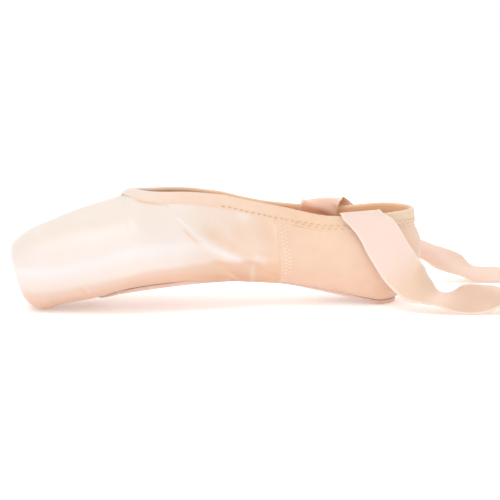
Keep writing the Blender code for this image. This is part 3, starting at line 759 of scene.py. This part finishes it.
def tone(lines, x, z):
    """Strength from 0 to 1 of a set of soft lines, at points in side view."""
    total = np.zeros(x.shape)
    for strength, width, line in lines:
        distance, share = from_line(line, x, z)
        ends = ease(3 * share + 0.2) * ease(3 * (1 - share) + 0.2)
        total = np.maximum(total, strength * np.exp(-((distance / width) ** 2)) * ends)
    return total


def waves(points, size, seed):
    """Smooth noise at points, in waves about a size across."""
    return np.array([noise.noise(Vector(p) / size + Vector((seed, 0, 0))) for p in points])


top_line = [(f[0] + f[1] * BINDING_WIDTH) / MM for f in loop if f[0].y <= 0]
top_x, top_z = [p.x for p in top_line], [p.z for p in top_line]
print("creases:", len(CREASES) + 1, "lines")
print("seam under the tape:", round(min(top_z), 1), "to", round(max(top_z), 1), "mm")

# %% [markdown]
# ## Upper
#
# The upper comes in two skins, cut from the frame's own solid: the outer one, with satin ahead of the side seams
# and cotton behind them, and the lining. Both are subdivided, and the outer one gets the creases, soft
# unevenness where the vamp is not stiffened, and the pleats that gather the satin under the box.

# %% Upper
SEAM_LINE = ((14, 34.3), (30, 34.3), (40, 33.3), (49, 32.4))
PLEAT_TIP = -68.0


def seam_place(z):
    return smooth(SEAM_LINE, z)


def skin(name, outer, levels, materials):
    """One face of the upper's wall, subdivided. The second material starts behind the side seams."""
    thing = clean_copy(name, "upper")
    build = bmesh.new()
    build.from_mesh(thing.data)
    crease = build.edges.layers.float["crease_edge"]
    doomed = []
    for face in build.faces:
        middle = face.calc_center_median() / MM
        core_x = min(max(middle.x, -100.0), 95.0)
        core = Vector((core_x, 0, 27 + 0.05 * core_x))
        if (face.normal.dot(middle - core) > 0) != outer:
            doomed.append(face)
        elif middle.x > seam_place(middle.z) and len(materials) > 1:
            face.material_index = 1
    for edge in build.edges:
        one, other = (vert.co / MM for vert in edge.verts)
        middle = (one + other) / 2
        upright = abs(one.z - other.z) + abs(one.y - other.y) > 3 * abs(one.x - other.x)
        if outer and upright and -0.6 < middle.x - seam_place(middle.z) < 1.4:
            edge[crease] = 1.0
    bmesh.ops.delete(build, geom=doomed, context="FACES")
    build.to_mesh(thing.data)
    build.free()
    for material in materials:
        thing.data.materials.append(material)
    return subdivided(thing, levels)


def shape_outer(thing):
    points, normals = points_of(thing), normals_of(thing)
    x, y, z = (points / MM).T
    near = ease(-y / 6)
    far = ease(y / 6)
    height = crease_height(x, z) * near + 0.8 * crease_height(x + 3, z + 1) * far
    # Painted highlights on the folds and painted shade in the hollows; the shade is weaker under a highlight, and
    # deepens towards the rear of the vamp
    shine = tone(SHINE, x, z) * near + tone(SHINE, x + 3, z + 1) * far
    painted_shade = tone(PAINTED_SHADE, x, z) * near + tone(PAINTED_SHADE, x + 3, z + 1) * far
    painted_shade = np.maximum(painted_shade * (1 - 0.7 * shine), 0.55 * ease((x - 12) / 18))
    above_rim = z - np.interp(x, *np.array(RIM_LINE).T)
    rise = np.clip(above_rim / 28, 0, 1)
    soft = ease((x + 40) / 25) * (1 - 0.6 * ease((x - 30) / 20))
    height += soft * (0.35 * waves(points, 22 * MM, 3.0) + 0.14 * waves(points, 7 * MM, 9.0))
    under_tape = np.interp(x, top_x, top_z) - z
    height *= np.where(x > top_x[0], ease(under_tape / 3), 1.0)
    height *= np.where(x > PLEAT_TIP, ease(above_rim / 2.5), 1.0)
    # Along the front of the tape's lower edge the satin has a fine painted shadow, the shade of a crease under the
    # tape
    depth = 0.75 + 0.5 * ease((x + 62) / 12)
    tape_edge_shadow = np.exp(-(((under_tape - depth) / 0.60) ** 2))
    painted_shade = np.maximum(painted_shade, tape_edge_shadow * ease((x - top_x[0] - 4) / 6) * ease((-26 - x) / 10))
    turn = np.arctan2(y, PLEAT_TIP + 4 - x)
    reach = np.hypot(y, x - PLEAT_TIP - 4)
    gathered = ease((reach - 5) / 3) * ease((24 - reach) / 10) * ease((13 - z) / 4) * ease((PLEAT_TIP + 6 - x) / 4)
    height += 0.5 * gathered * (np.abs(np.sin(11 * turn)) ** 0.7 - 0.6)
    points = points + normals * (height * MM)[:, None]
    sag = np.interp(x, *np.array(SAG).T) * ease((above_rim - 0.2) / 1.1) * ease((10 - above_rim) / 7)
    points[:, 2] -= (sag + 0.42 * (1 - np.clip(above_rim / 0.7, 0, 1)) * ease((x - PLEAT_TIP + 18) / 12)) * MM
    put_points(thing, points)
    for name, values in (("rise", rise), ("shine", shine), ("painted_shade", painted_shade)):
        layer = thing.data.attributes.new(name, "FLOAT", "POINT")
        layer.data.foreach_set("value", values)


upper_outer = skin("upper_satin", True, 3, [upper_satin, quarter_cloth])
shape_outer(upper_outer)
upper_lining = skin("upper_lining", False, 2, [lining_cloth])
for piece in (upper_outer, upper_lining):
    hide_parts("upper")
    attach(piece, "root")
print("outer skin:", len(upper_outer.data.polygons), "faces; lining:", len(upper_lining.data.polygons))

# %% [markdown]
# ## Collar tape
#
# A folded tape, with a groove where the stitches pull it in, and small puckers between them. Its lower edge laps
# over the satin, so the joint is covered.

# %% Collar tape
SIDE_SEAM_ALONG = 0.646
STEP_HEIGHT = 0.6
ROW_ONE = ((0.50, 7.1), (0.66, 6.9), (0.72, 6.0), (0.80, 5.5), (1.00, 5.6))
ROW_TWO = 7.3
TAPE_PROUD = 0.52
TAPE_CROWN, THROAT_CROWN = 0.12, 0.65
THROAT_FROM, THROAT_FADE = -28, 14
GROOVE_DEPTH, GROOVE_WIDTH = 0.26, 0.6


def share_along(x):
    """A place along the shoe, from millimetres to a share of its length from the toe."""
    return x * MM / LENGTH + 0.5


def quarter_step(x):
    """How far the quarter's overlap stands out behind the side seam, in millimetres."""
    behind = share_along(x) - SIDE_SEAM_ALONG
    return 0.0 if behind < 0 else STEP_HEIGHT * (1 - min(1.0, max(0.0, (behind - 0.03) / 0.06)))


def tape_point(frame_here, u, w):
    here, down, out = frame_here
    return here + down * (u * MM) + out * (w * MM)


def row_one(x):
    return smooth(ROW_ONE, share_along(x))


def tape_ring(frame_here, travelled):
    """One cross-section: down the outer face, round the lapped edge, and up the inner face."""
    x = frame_here[0].x / MM
    pucker = 0.09 * math.sin(2.1 * travelled) + 0.10 * noise.noise(Vector((travelled * 0.35, 4.0, 0)))
    lift = quarter_step(x)
    front = min(1.0, max(0.0, (THROAT_FROM - x) / THROAT_FADE))
    lap = 0.02 if x < 0 else 0.07
    outer = []
    for u in (0.6, 1.4, 2.4, 3.4, 4.4, 5.2, 5.8, 6.4, 7.0, 7.5, 8.0, 8.5):
        groove = 0.0
        if x > -2:
            groove = GROOVE_DEPTH * math.exp(-(((u - row_one(x)) / GROOVE_WIDTH) ** 2))
        full = (TAPE_CROWN + THROAT_CROWN * front) * math.sin(math.pi * min(1.0, u / 8.5))
        lower = min(1.0, max(0.0, (u - 3) / 4))
        settled = (TAPE_PROUD - lap) * max(0.0, (u - 6.8) / 1.7)
        outer.append((u, TAPE_PROUD + full + lift * lower - groove - settled + pucker * lower * 0.6))
    edge = [(8.8, lap - 0.04 + lift), (8.9, 0.5 * lap - 0.07 + lift), (8.6, -0.10 + lift), (7.75, -0.12)]
    inner = [
        (7.7, -2.25), (6.0, -2.35), (3.5, -2.38), (1.4, -2.30), (0.5, -2.0), (0.05, -1.35), (-0.15, -0.8), (0.0, -0.1),
    ]
    return [tape_point(frame_here, u, w) for u, w in outer + edge + inner]


rings = [tape_ring(f, s / MM) for f, s in zip(loop, around)]
size = len(rings[0])
verts = [v for ring in rings for v in ring]
faces = []
for i in range(len(rings)):
    j = (i + 1) % len(rings)
    faces += [(i * size + k, i * size + (k + 1) % size, j * size + (k + 1) % size, j * size + k) for k in range(size)]
tape = make_object("collar_tape", verts, faces, tape_cloth)
tape.data.materials.append(tape_inside)
for polygon in tape.data.polygons:
    # A ring's points 0 to 15 run down the outer face and round the edge, and from 16 on they run up the inner face
    ring_places = [n % size for n in polygon.vertices]
    polygon.material_index = 1 if sum(ring_places) / 4 > 15.5 and max(ring_places) < size - 2 else 0
build = bmesh.new()
build.from_mesh(tape.data)
bmesh.ops.recalc_face_normals(build, faces=build.faces)
build.to_mesh(tape.data)
build.free()
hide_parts("collar_binding")
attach(tape, "root")
print("tape:", len(tape.data.polygons), "faces")

# %% [markdown]
# ## Stitches
#
# One geometry-node group puts a thread stitch on every point of a small mesh. The points carry the stitch's
# direction, the cloth's outward direction and the stitch's length. The same group makes the running rows on the
# tape here, and later the zigzag over the side seams, the heel seam and the sewing of the ribbons.

# %% Stitches
def stitch_group():
    group = bpy.data.node_groups.new("stitches", "GeometryNodeTree")
    face = group.interface
    face.new_socket("Points", in_out="INPUT", socket_type="NodeSocketGeometry")
    radius = face.new_socket("Thread radius", in_out="INPUT", socket_type="NodeSocketFloat")
    radius.default_value = 0.2 * MM
    face.new_socket("Thread", in_out="INPUT", socket_type="NodeSocketMaterial")
    face.new_socket("Stitches", in_out="OUTPUT", socket_type="NodeSocketGeometry")
    node, link = group.nodes.new, group.links.new
    into, out = node("NodeGroupInput"), node("NodeGroupOutput")

    def carried(name, kind):
        reader = node("GeometryNodeInputNamedAttribute")
        reader.data_type = kind
        reader.inputs["Name"].default_value = name
        return reader.outputs["Attribute"]

    ball = node("GeometryNodeMeshUVSphere")
    ball.inputs["Segments"].default_value = 8
    ball.inputs["Rings"].default_value = 6
    ball.inputs["Radius"].default_value = 1.0
    turned = node("FunctionNodeAlignEulerToVector")
    turned.axis = "X"
    link(carried("run", "FLOAT_VECTOR"), turned.inputs["Vector"])
    faced = node("FunctionNodeAlignEulerToVector")
    faced.axis = "Z"
    faced.pivot_axis = "X"
    link(turned.outputs["Rotation"], faced.inputs["Rotation"])
    link(carried("out", "FLOAT_VECTOR"), faced.inputs["Vector"])
    shape = node("ShaderNodeCombineXYZ")
    link(carried("reach", "FLOAT"), shape.inputs["X"])
    link(into.outputs["Thread radius"], shape.inputs["Y"])
    link(into.outputs["Thread radius"], shape.inputs["Z"])
    spread = node("GeometryNodeInstanceOnPoints")
    link(into.outputs["Points"], spread.inputs["Points"])
    link(ball.outputs["Mesh"], spread.inputs["Instance"])
    link(faced.outputs["Rotation"], spread.inputs["Rotation"])
    link(shape.outputs["Vector"], spread.inputs["Scale"])
    real = node("GeometryNodeRealizeInstances")
    link(spread.outputs["Instances"], real.inputs["Geometry"])
    soft = node("GeometryNodeSetShadeSmooth")
    link(real.outputs["Geometry"], soft.inputs["Geometry"])
    dyed = node("GeometryNodeSetMaterial")
    link(soft.outputs["Geometry"], dyed.inputs["Geometry"])
    link(into.outputs["Thread"], dyed.inputs["Material"])
    link(dyed.outputs["Geometry"], out.inputs["Stitches"])
    return group


stitches_group = stitch_group()


def sew(name, stitches, radius, thread):
    """A piece of thread stitches: each is (centre, direction, outward, length), in metres."""
    mesh = bpy.data.meshes.new(name)
    mesh.from_pydata([tuple(s[0]) for s in stitches], [], [])
    for key, column in (("run", 1), ("out", 2)):
        layer = mesh.attributes.new(key, "FLOAT_VECTOR", "POINT")
        layer.data.foreach_set("vector", [c for s in stitches for c in s[column]])
    layer = mesh.attributes.new("reach", "FLOAT", "POINT")
    layer.data.foreach_set("value", [s[3] / 2 for s in stitches])
    thing = bpy.data.objects.new(name, mesh)
    scene.collection.objects.link(thing)
    modifier = thing.modifiers.new("stitches", "NODES")
    modifier.node_group = stitches_group
    keys = {item.name: item.identifier for item in stitches_group.interface.items_tree if item.in_out == "INPUT"}
    modifier[keys["Thread radius"]] = radius
    modifier[keys["Thread"]] = thread
    settle(thing)
    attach(thing, "root")
    return thing


def running_row(depth, start, pitch, length):
    """Stitches on the tape's outer face at a depth below the collar edge, from a place along the shoe back."""
    found, due = [], 0.0
    for (here, down, out), travelled in zip(loop, around):
        x = here.x / MM
        if x < start or travelled < due:
            continue
        due = travelled + pitch * MM
        u = depth(x)
        lift = quarter_step(x) * min(1.0, max(0.0, (u - 3) / 4))
        spot = here + down * (u * MM) + out * ((TAPE_PROUD - 0.02 + lift) * MM)
        found.append((spot, out.cross(down), out, length * MM))
    return found


row = running_row(row_one, 2, 3.0, 2.1) + running_row(lambda x: ROW_TWO, 45, 3.0, 2.1)
sew("tape_stitches", row, 0.22 * MM, thread_tan)
print("tape stitches:", len(row))

# %% [markdown]
# ## Seam stitches
#
# A wide zigzag runs over each side seam, and two straight rows run down the heel. Each stitch is laid on the
# cloth by a ray cast at the upper's finished outer skin.

# %% Seam stitches
outer_mesh = upper_outer.data
skin_tree = BVHTree.FromPolygons([v.co for v in outer_mesh.vertices], [p.vertices for p in outer_mesh.polygons])
ZIGZAG_FRONT = ((16.9, 36.4), (25.4, 36.4), (36.2, 35.3), (48.7, 33.4))
ZIGZAG_BACK = ((16.9, 40.3), (25.4, 40.4), (36.2, 39.3), (48.7, 37.6))
ZIGZAG_TURNS = 30
ZIGZAG_TOP, ZIGZAG_FOOT = 48.0, 17.4
HEEL_ROWS = (-1.6, 1.6)
HEEL_STITCHES, HEEL_ROW_TOP, HEEL_PITCH = 15, 44.0, 2.6


def on_side(x, z, side):
    """The point of the outer skin at a place in side view, in millimetres, and its outward direction."""
    spot, normal, _, _ = skin_tree.ray_cast(Vector((x * MM, side * 0.08, z * MM)), Vector((0, -side, 0)))
    return spot, normal if normal.y * side > 0 else -normal


def chain(points, sink):
    """Stitches from point to point, a little off the cloth, in millimetres."""
    found = []
    for (one, out_one), (other, out_other) in zip(points, points[1:]):
        out = (out_one + out_other).normalized()
        step = other - one
        found.append(((one + other) / 2 + out * sink * MM, step.normalized(), out, step.length * 1.05))
    return found


zigzag = []
for side in (-1, 1):
    corners = []
    for k in range(ZIGZAG_TURNS + 1):
        z = ZIGZAG_TOP - (ZIGZAG_TOP - ZIGZAG_FOOT) * k / ZIGZAG_TURNS
        corners.append(on_side(smooth(ZIGZAG_FRONT if k % 2 else ZIGZAG_BACK, z), z, side))
    # The thread shows most at its turns, so each stitch is short and sits at the start of its step
    for middle, run, out, length in chain(corners, 0.08):
        zigzag.append((middle - run * (0.26 * length), run, out, 0.46 * length))
sew("side_seam_zigzag", zigzag, 0.20 * MM, thread_pale)
heel_seam = []
for offset in HEEL_ROWS:
    for k in range(HEEL_STITCHES):
        z = HEEL_ROW_TOP - HEEL_PITCH * k
        spot, normal, _, _ = skin_tree.ray_cast(Vector((0.16, offset * MM, z * MM)), Vector((-1, 0, 0)))
        heel_seam.append((spot + normal * 0.05 * MM, Vector((-normal.z, 0, normal.x)).normalized(), normal, 1.8 * MM))
sew("heel_seam_stitches", heel_seam, 0.18 * MM, thread_pale)
print("seam stitches:", len(zigzag) + len(heel_seam))

# %% [markdown]
# ## Sole
#
# The outsole is thin leather with a softened edge. It swells a little upward, so that it presses on the upper. The
# insole is covered board.

# %% Sole
def soft_edged(name, node, material, width, swell=0.0):
    thing = clean_copy(name, node)
    points = points_of(thing)
    points[:, 2] += np.where(normals_of(thing)[:, 2] > 0.3, swell, 0) * MM
    put_points(thing, points)
    thing.data.materials.append(material)
    bevel = thing.modifiers.new("soft edge", "BEVEL")
    bevel.width = width * MM
    bevel.segments = 3
    bevel.limit_method = "ANGLE"
    bevel.angle_limit = math.radians(50)
    bevel.harden_normals = False
    settle(thing)
    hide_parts(node)
    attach(thing, "root")
    return thing


outsole = soft_edged("leather_outsole", "outsole", sole_leather, 0.25, swell=0.2)
insole = soft_edged("covered_insole", "insole", insole_board, 0.5)
print("sole:", len(outsole.data.polygons), "and", len(insole.data.polygons), "faces")

# %% [markdown]
# ## Ribbons
#
# Each ribbon is sewn inside its quarter, comes over the collar in a soft hump and goes down to the floor. The
# length that the photograph does not show is folded on the floor behind the heel. The routes are the packed
# model's own: centre x, y, z in millimetres, then the direction across the ribbon. The curl tables bow the
# ribbon across its width, and the droop tables let one edge hang lower or stand higher than the other.

# %% Ribbons
ACROSS = 14
STEPS = 8
SEWN_RINGS = (3, 8)
HALF_THICKNESS, EDGE_FIRMNESS = 0.22, 0.10
FLOOR_GAP = 0.02

LEFT_ROUTE = (
    (83.0, -20.8, 37.0, 0.98, -0.09, 0.16),
    (81.4, -19.6, 46.0, 0.98, -0.10, 0.16),
    (79.4, -19.4, 51.2, 0.98, -0.10, 0.10),
    (79.0, -22.2, 53.9, 0.98, -0.09, 0.05),
    (80.6, -25.2, 51.8, 0.98, -0.05, 0.12),
    (84.6, -27.6, 48.0, 0.94, 0.00, 0.33),
    (89.0, -29.9, 43.2, 0.86, 0.02, 0.50),
    (94.0, -33.0, 34.5, 0.81, 0.00, 0.58),
    (98.7, -36.6, 26.6, 0.83, 0.02, 0.56),
    (103.0, -38.8, 20.4, 0.84, 0.12, 0.53),
    (107.2, -39.2, 16.0, 0.87, 0.34, 0.27),
    (112.6, -39.2, 11.7, 0.74, 0.66, 0.08),
    (118.6, -40.2, 7.8, 0.50, 0.87, 0.08),
    (125.0, -42.2, 7.2, 0.29, 0.92, 0.24),
    (132.0, -44.4, 7.6, 0.15, 0.82, 0.55),
    (138.5, -45.4, 8.0, 0.08, 0.75, 0.66),
    (146.0, -46.0, 8.4, 0.04, 0.82, 0.57),
    (153.0, -47.2, 9.4, 0.02, 0.93, 0.37),
    (162.0, -48.6, 7.8, 0.02, 0.98, 0.18),
    (174.0, -50.0, 3.4, 0.00, 1.00, 0.04),
    (190.0, -51.0, 1.2, 0.00, 1.00, 0.00),
    (222.0, -52.5, 0.8, 0.04, 1.00, 0.00),
    (252.0, -53.5, 1.6, 0.03, 1.00, 0.00),
    (262.0, -53.5, 4.8, 0.00, 1.00, 0.00),
    (253.0, -52.8, 8.2, -0.04, 1.00, 0.00),
    (222.0, -50.0, 5.6, -0.08, 1.00, 0.00),
    (192.0, -47.6, 5.2, -0.06, 1.00, 0.00),
    (182.0, -47.0, 8.6, 0.00, 1.00, 0.00),
    (192.0, -47.4, 12.0, 0.06, 1.00, 0.00),
    (222.0, -50.0, 10.2, 0.09, 1.00, 0.00),
    (250.0, -52.4, 12.4, 0.06, 1.00, 0.00),
    (260.0, -52.8, 15.6, 0.00, 1.00, 0.00),
    (250.0, -52.2, 18.8, -0.05, 1.00, 0.00),
    (222.0, -50.4, 15.2, -0.06, 1.00, 0.00),
    (198.0, -49.0, 16.4, -0.05, 1.00, 0.00),
)
RIGHT_ROUTE = (
    (58.0, 19.8, 39.0, 0.98, 0.15, 0.08),
    (58.8, 17.2, 48.0, 0.98, 0.14, 0.08),
    (60.6, 16.8, 52.0, 0.98, 0.15, 0.02),
    (63.4, 20.2, 54.7, 0.99, 0.06, 0.03),
    (66.2, 24.2, 52.6, 0.97, 0.10, 0.10),
    (69.2, 26.6, 49.2, 0.90, 0.10, 0.40),
    (73.6, 29.2, 44.6, 0.78, 0.16, 0.60),
    (80.0, 32.8, 40.0, 0.60, 0.28, 0.73),
    (89.0, 37.6, 35.6, 0.34, 0.50, 0.78),
    (104.0, 44.2, 28.8, 0.04, 0.60, 0.80),
    (120.0, 49.6, 22.4, -0.14, 0.62, 0.78),
    (131.0, 53.2, 16.8, -0.20, 0.66, 0.72),
    (141.0, 56.0, 12.0, -0.16, 0.82, 0.54),
    (150.0, 57.6, 8.6, -0.08, 0.91, 0.40),
    (161.0, 58.0, 4.8, 0.00, 0.97, 0.24),
    (176.0, 57.4, 3.4, 0.00, 0.97, 0.23),
    (188.0, 57.0, 2.2, 0.00, 1.00, 0.10),
    (204.0, 56.4, 1.0, 0.00, 1.00, 0.00),
    (232.0, 55.0, 0.8, -0.04, 1.00, 0.00),
    (256.0, 53.6, 1.8, -0.05, 1.00, 0.00),
    (265.0, 53.2, 5.0, 0.00, 1.00, 0.00),
    (255.0, 53.8, 8.2, 0.05, 1.00, 0.00),
    (230.0, 55.6, 5.4, 0.07, 1.00, 0.00),
    (206.0, 57.2, 5.4, 0.05, 1.00, 0.00),
    (196.0, 57.8, 8.8, 0.00, 1.00, 0.00),
    (206.0, 57.4, 12.2, -0.05, 1.00, 0.00),
    (232.0, 55.4, 10.0, -0.08, 1.00, 0.00),
    (252.0, 53.8, 12.4, -0.06, 1.00, 0.00),
    (262.0, 53.2, 15.8, 0.00, 1.00, 0.00),
    (252.0, 53.6, 19.2, 0.05, 1.00, 0.00),
    (230.0, 55.0, 15.4, 0.06, 1.00, 0.00),
    (208.0, 56.4, 16.6, 0.05, 1.00, 0.00),
)


def route_frames(route):
    """Centre and crosswise direction of a ribbon, closely spaced along its route."""
    centres = [Vector(row[:3]) * MM for row in route]
    crosses = [Vector(row[3:]).normalized() for row in route]
    frames = []
    for i in range(len(route) - 1):
        near = (max(i - 1, 0), i, i + 1, min(i + 2, len(route) - 1))
        for k in range(STEPS):
            share = k / STEPS
            centre = through(*(centres[j] for j in near), share)
            frames.append((centre, through(*(crosses[j] for j in near), share)))
    frames.append((centres[-1], crosses[-1]))
    return frames


def make_ribbon(name, node, route, flip, seed, curl, droop, finish):
    """A thin woven ribbon with firmer edges: a closed sheet with its face and its back as two materials."""
    frames = route_frames(route)
    rings, marks, sewing, travelled = [], [], [], 0.0
    for i, (centre, cross) in enumerate(frames):
        behind, ahead = frames[max(i - 1, 0)][0], frames[min(i + 1, len(frames) - 1)][0]
        run = (ahead - behind).normalized()
        cross = (cross - run * cross.dot(run)).normalized()
        out = run.cross(cross).normalized() * flip
        travelled += (centre - frames[max(i - 1, 0)][0]).length
        front, back = [], []
        for k in range(ACROSS + 1):
            s = 2 * k / ACROSS - 1
            ripple = 0.22 * noise.noise(Vector((travelled / MM / 14, 0.8 * s, seed))) * (1 - s * s)
            thick = HALF_THICKNESS + EDGE_FIRMNESS * max(0.0, (abs(s) - 0.90) / 0.10)
            bow = smooth(curl, travelled / MM) + 0.001
            reach = RIBBON_WIDTH / 2 / bow
            spot = centre + cross * (math.sin(bow * s) * reach * MM)
            spot.z -= smooth(droop, travelled / MM, 1 if s < 0 else 2) * s * s * MM
            ripple += (math.cos(bow * s) - 0.5 * (1 + math.cos(bow))) * reach
            for side, level in ((front, ripple + thick), (back, ripple - thick)):
                point = spot + out * (level * MM)
                point.z = max(point.z, FLOOR_GAP * MM)
                side.append(point)
        rings.append(front + back[::-1])
        marks.append(travelled)
        if i in SEWN_RINGS:
            sewing += [(spot, cross, out, 1.1 * MM) for spot in front[1:-1]]
    size = 2 * (ACROSS + 1)
    verts = [v for ring in rings for v in ring]
    faces = []
    for i in range(len(rings) - 1):
        for k in range(size):
            m = (k + 1) % size
            faces.append((i * size + k, i * size + m, (i + 1) * size + m, (i + 1) * size + k))
    faces += [tuple(range(size))[::-1], tuple((len(rings) - 1) * size + k for k in range(size))]
    ribbon = make_object(name, verts, faces, finish)
    ribbon.data.materials.append(ribbon_back)
    across = [*range(ACROSS + 1), *reversed(range(ACROSS + 1))]
    layer = ribbon.data.uv_layers.new(name="ribbon")
    for polygon in ribbon.data.polygons:
        columns = [ribbon.data.loops[n].vertex_index % size for n in polygon.loop_indices]
        polygon.material_index = 0 if sum(columns) / len(columns) < ACROSS + 0.4 else 1
        for n in polygon.loop_indices:
            index = ribbon.data.loops[n].vertex_index
            layer.data[n].uv = (across[index % size] / ACROSS * RIBBON_WIDTH * MM, marks[index // size])
    build = bmesh.new()
    build.from_mesh(ribbon.data)
    bmesh.ops.recalc_face_normals(build, faces=build.faces)
    build.to_mesh(ribbon.data)
    build.free()
    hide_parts(node)
    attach(ribbon, "root")
    print(name, "length", round(travelled / MM), "mm")
    return sewing


# Tables along each ribbon, in millimetres from its sewn end: how far it bows, and how its two edges hang
NEAR_CURL = (
    (0, 0.0), (10, 0.0), (19, 0.22), (30, 0.18), (40, 0.22), (70, 0.20), (84, 0.10), (100, 0.25), (118, 0.35),
    (150, 0.0),
)
FAR_CURL = (
    (0, 0.0), (10, 0.10), (15, 0.50), (22, 0.92), (30, 0.80), (36, 0.40), (44, 0.10), (60, 0.0), (85, -0.60),
    (100, -1.00), (112, -0.80), (124, -0.40), (140, -0.20), (165, 0.0),
)
NEAR_DROOP = (
    (0, 0.0, 0.0), (8, 0.0, 0.0), (19, -0.4, 1.2), (24, -2.6, 2.0), (28, -2.2, 2.3), (32, -0.6, 1.1), (36, 0.6, 0.0),
    (41, 1.4, 0.0), (54, 1.4, 0.0), (60, 1.1, 0.0), (66, 0.0, -0.2), (74, 0.0, -1.6), (80, 0.0, -2.2), (86, 0.0, -0.8),
    (90, 0.0, 0.3), (94, 0.0, 0.6), (100, 0.0, 0.0),
)
FAR_DROOP = (
    (0, 0.0, 0.0), (8, 0.0, 0.0), (17, 1.0, 0.0), (24, 0.6, -0.8), (30, 0.2, -1.0), (40, 0.0, 0.0), (60, -1.0, 0.0),
    (82, -3.6, 0.0), (95, -5.0, -1.6), (103, -5.2, -2.6), (111, -2.8, -3.4), (118, -2.0, -4.2), (124, -1.6, -4.3),
    (130, -0.6, -4.3), (136, 0.4, -1.0), (140, 0.4, 0.0), (150, 0.0, 0.0),
)
sewing = make_ribbon("near_ribbon", "ribbon_left", LEFT_ROUTE, 1, 2.0, NEAR_CURL, NEAR_DROOP, near_satin)
sewing += make_ribbon("far_ribbon", "ribbon_right", RIGHT_ROUTE, -1, 5.0, FAR_CURL, FAR_DROOP, far_satin)
sew("ribbon_sewing", sewing, 0.16 * MM, thread_pale)

# %% Hand over
bpy.context.view_layer.update()
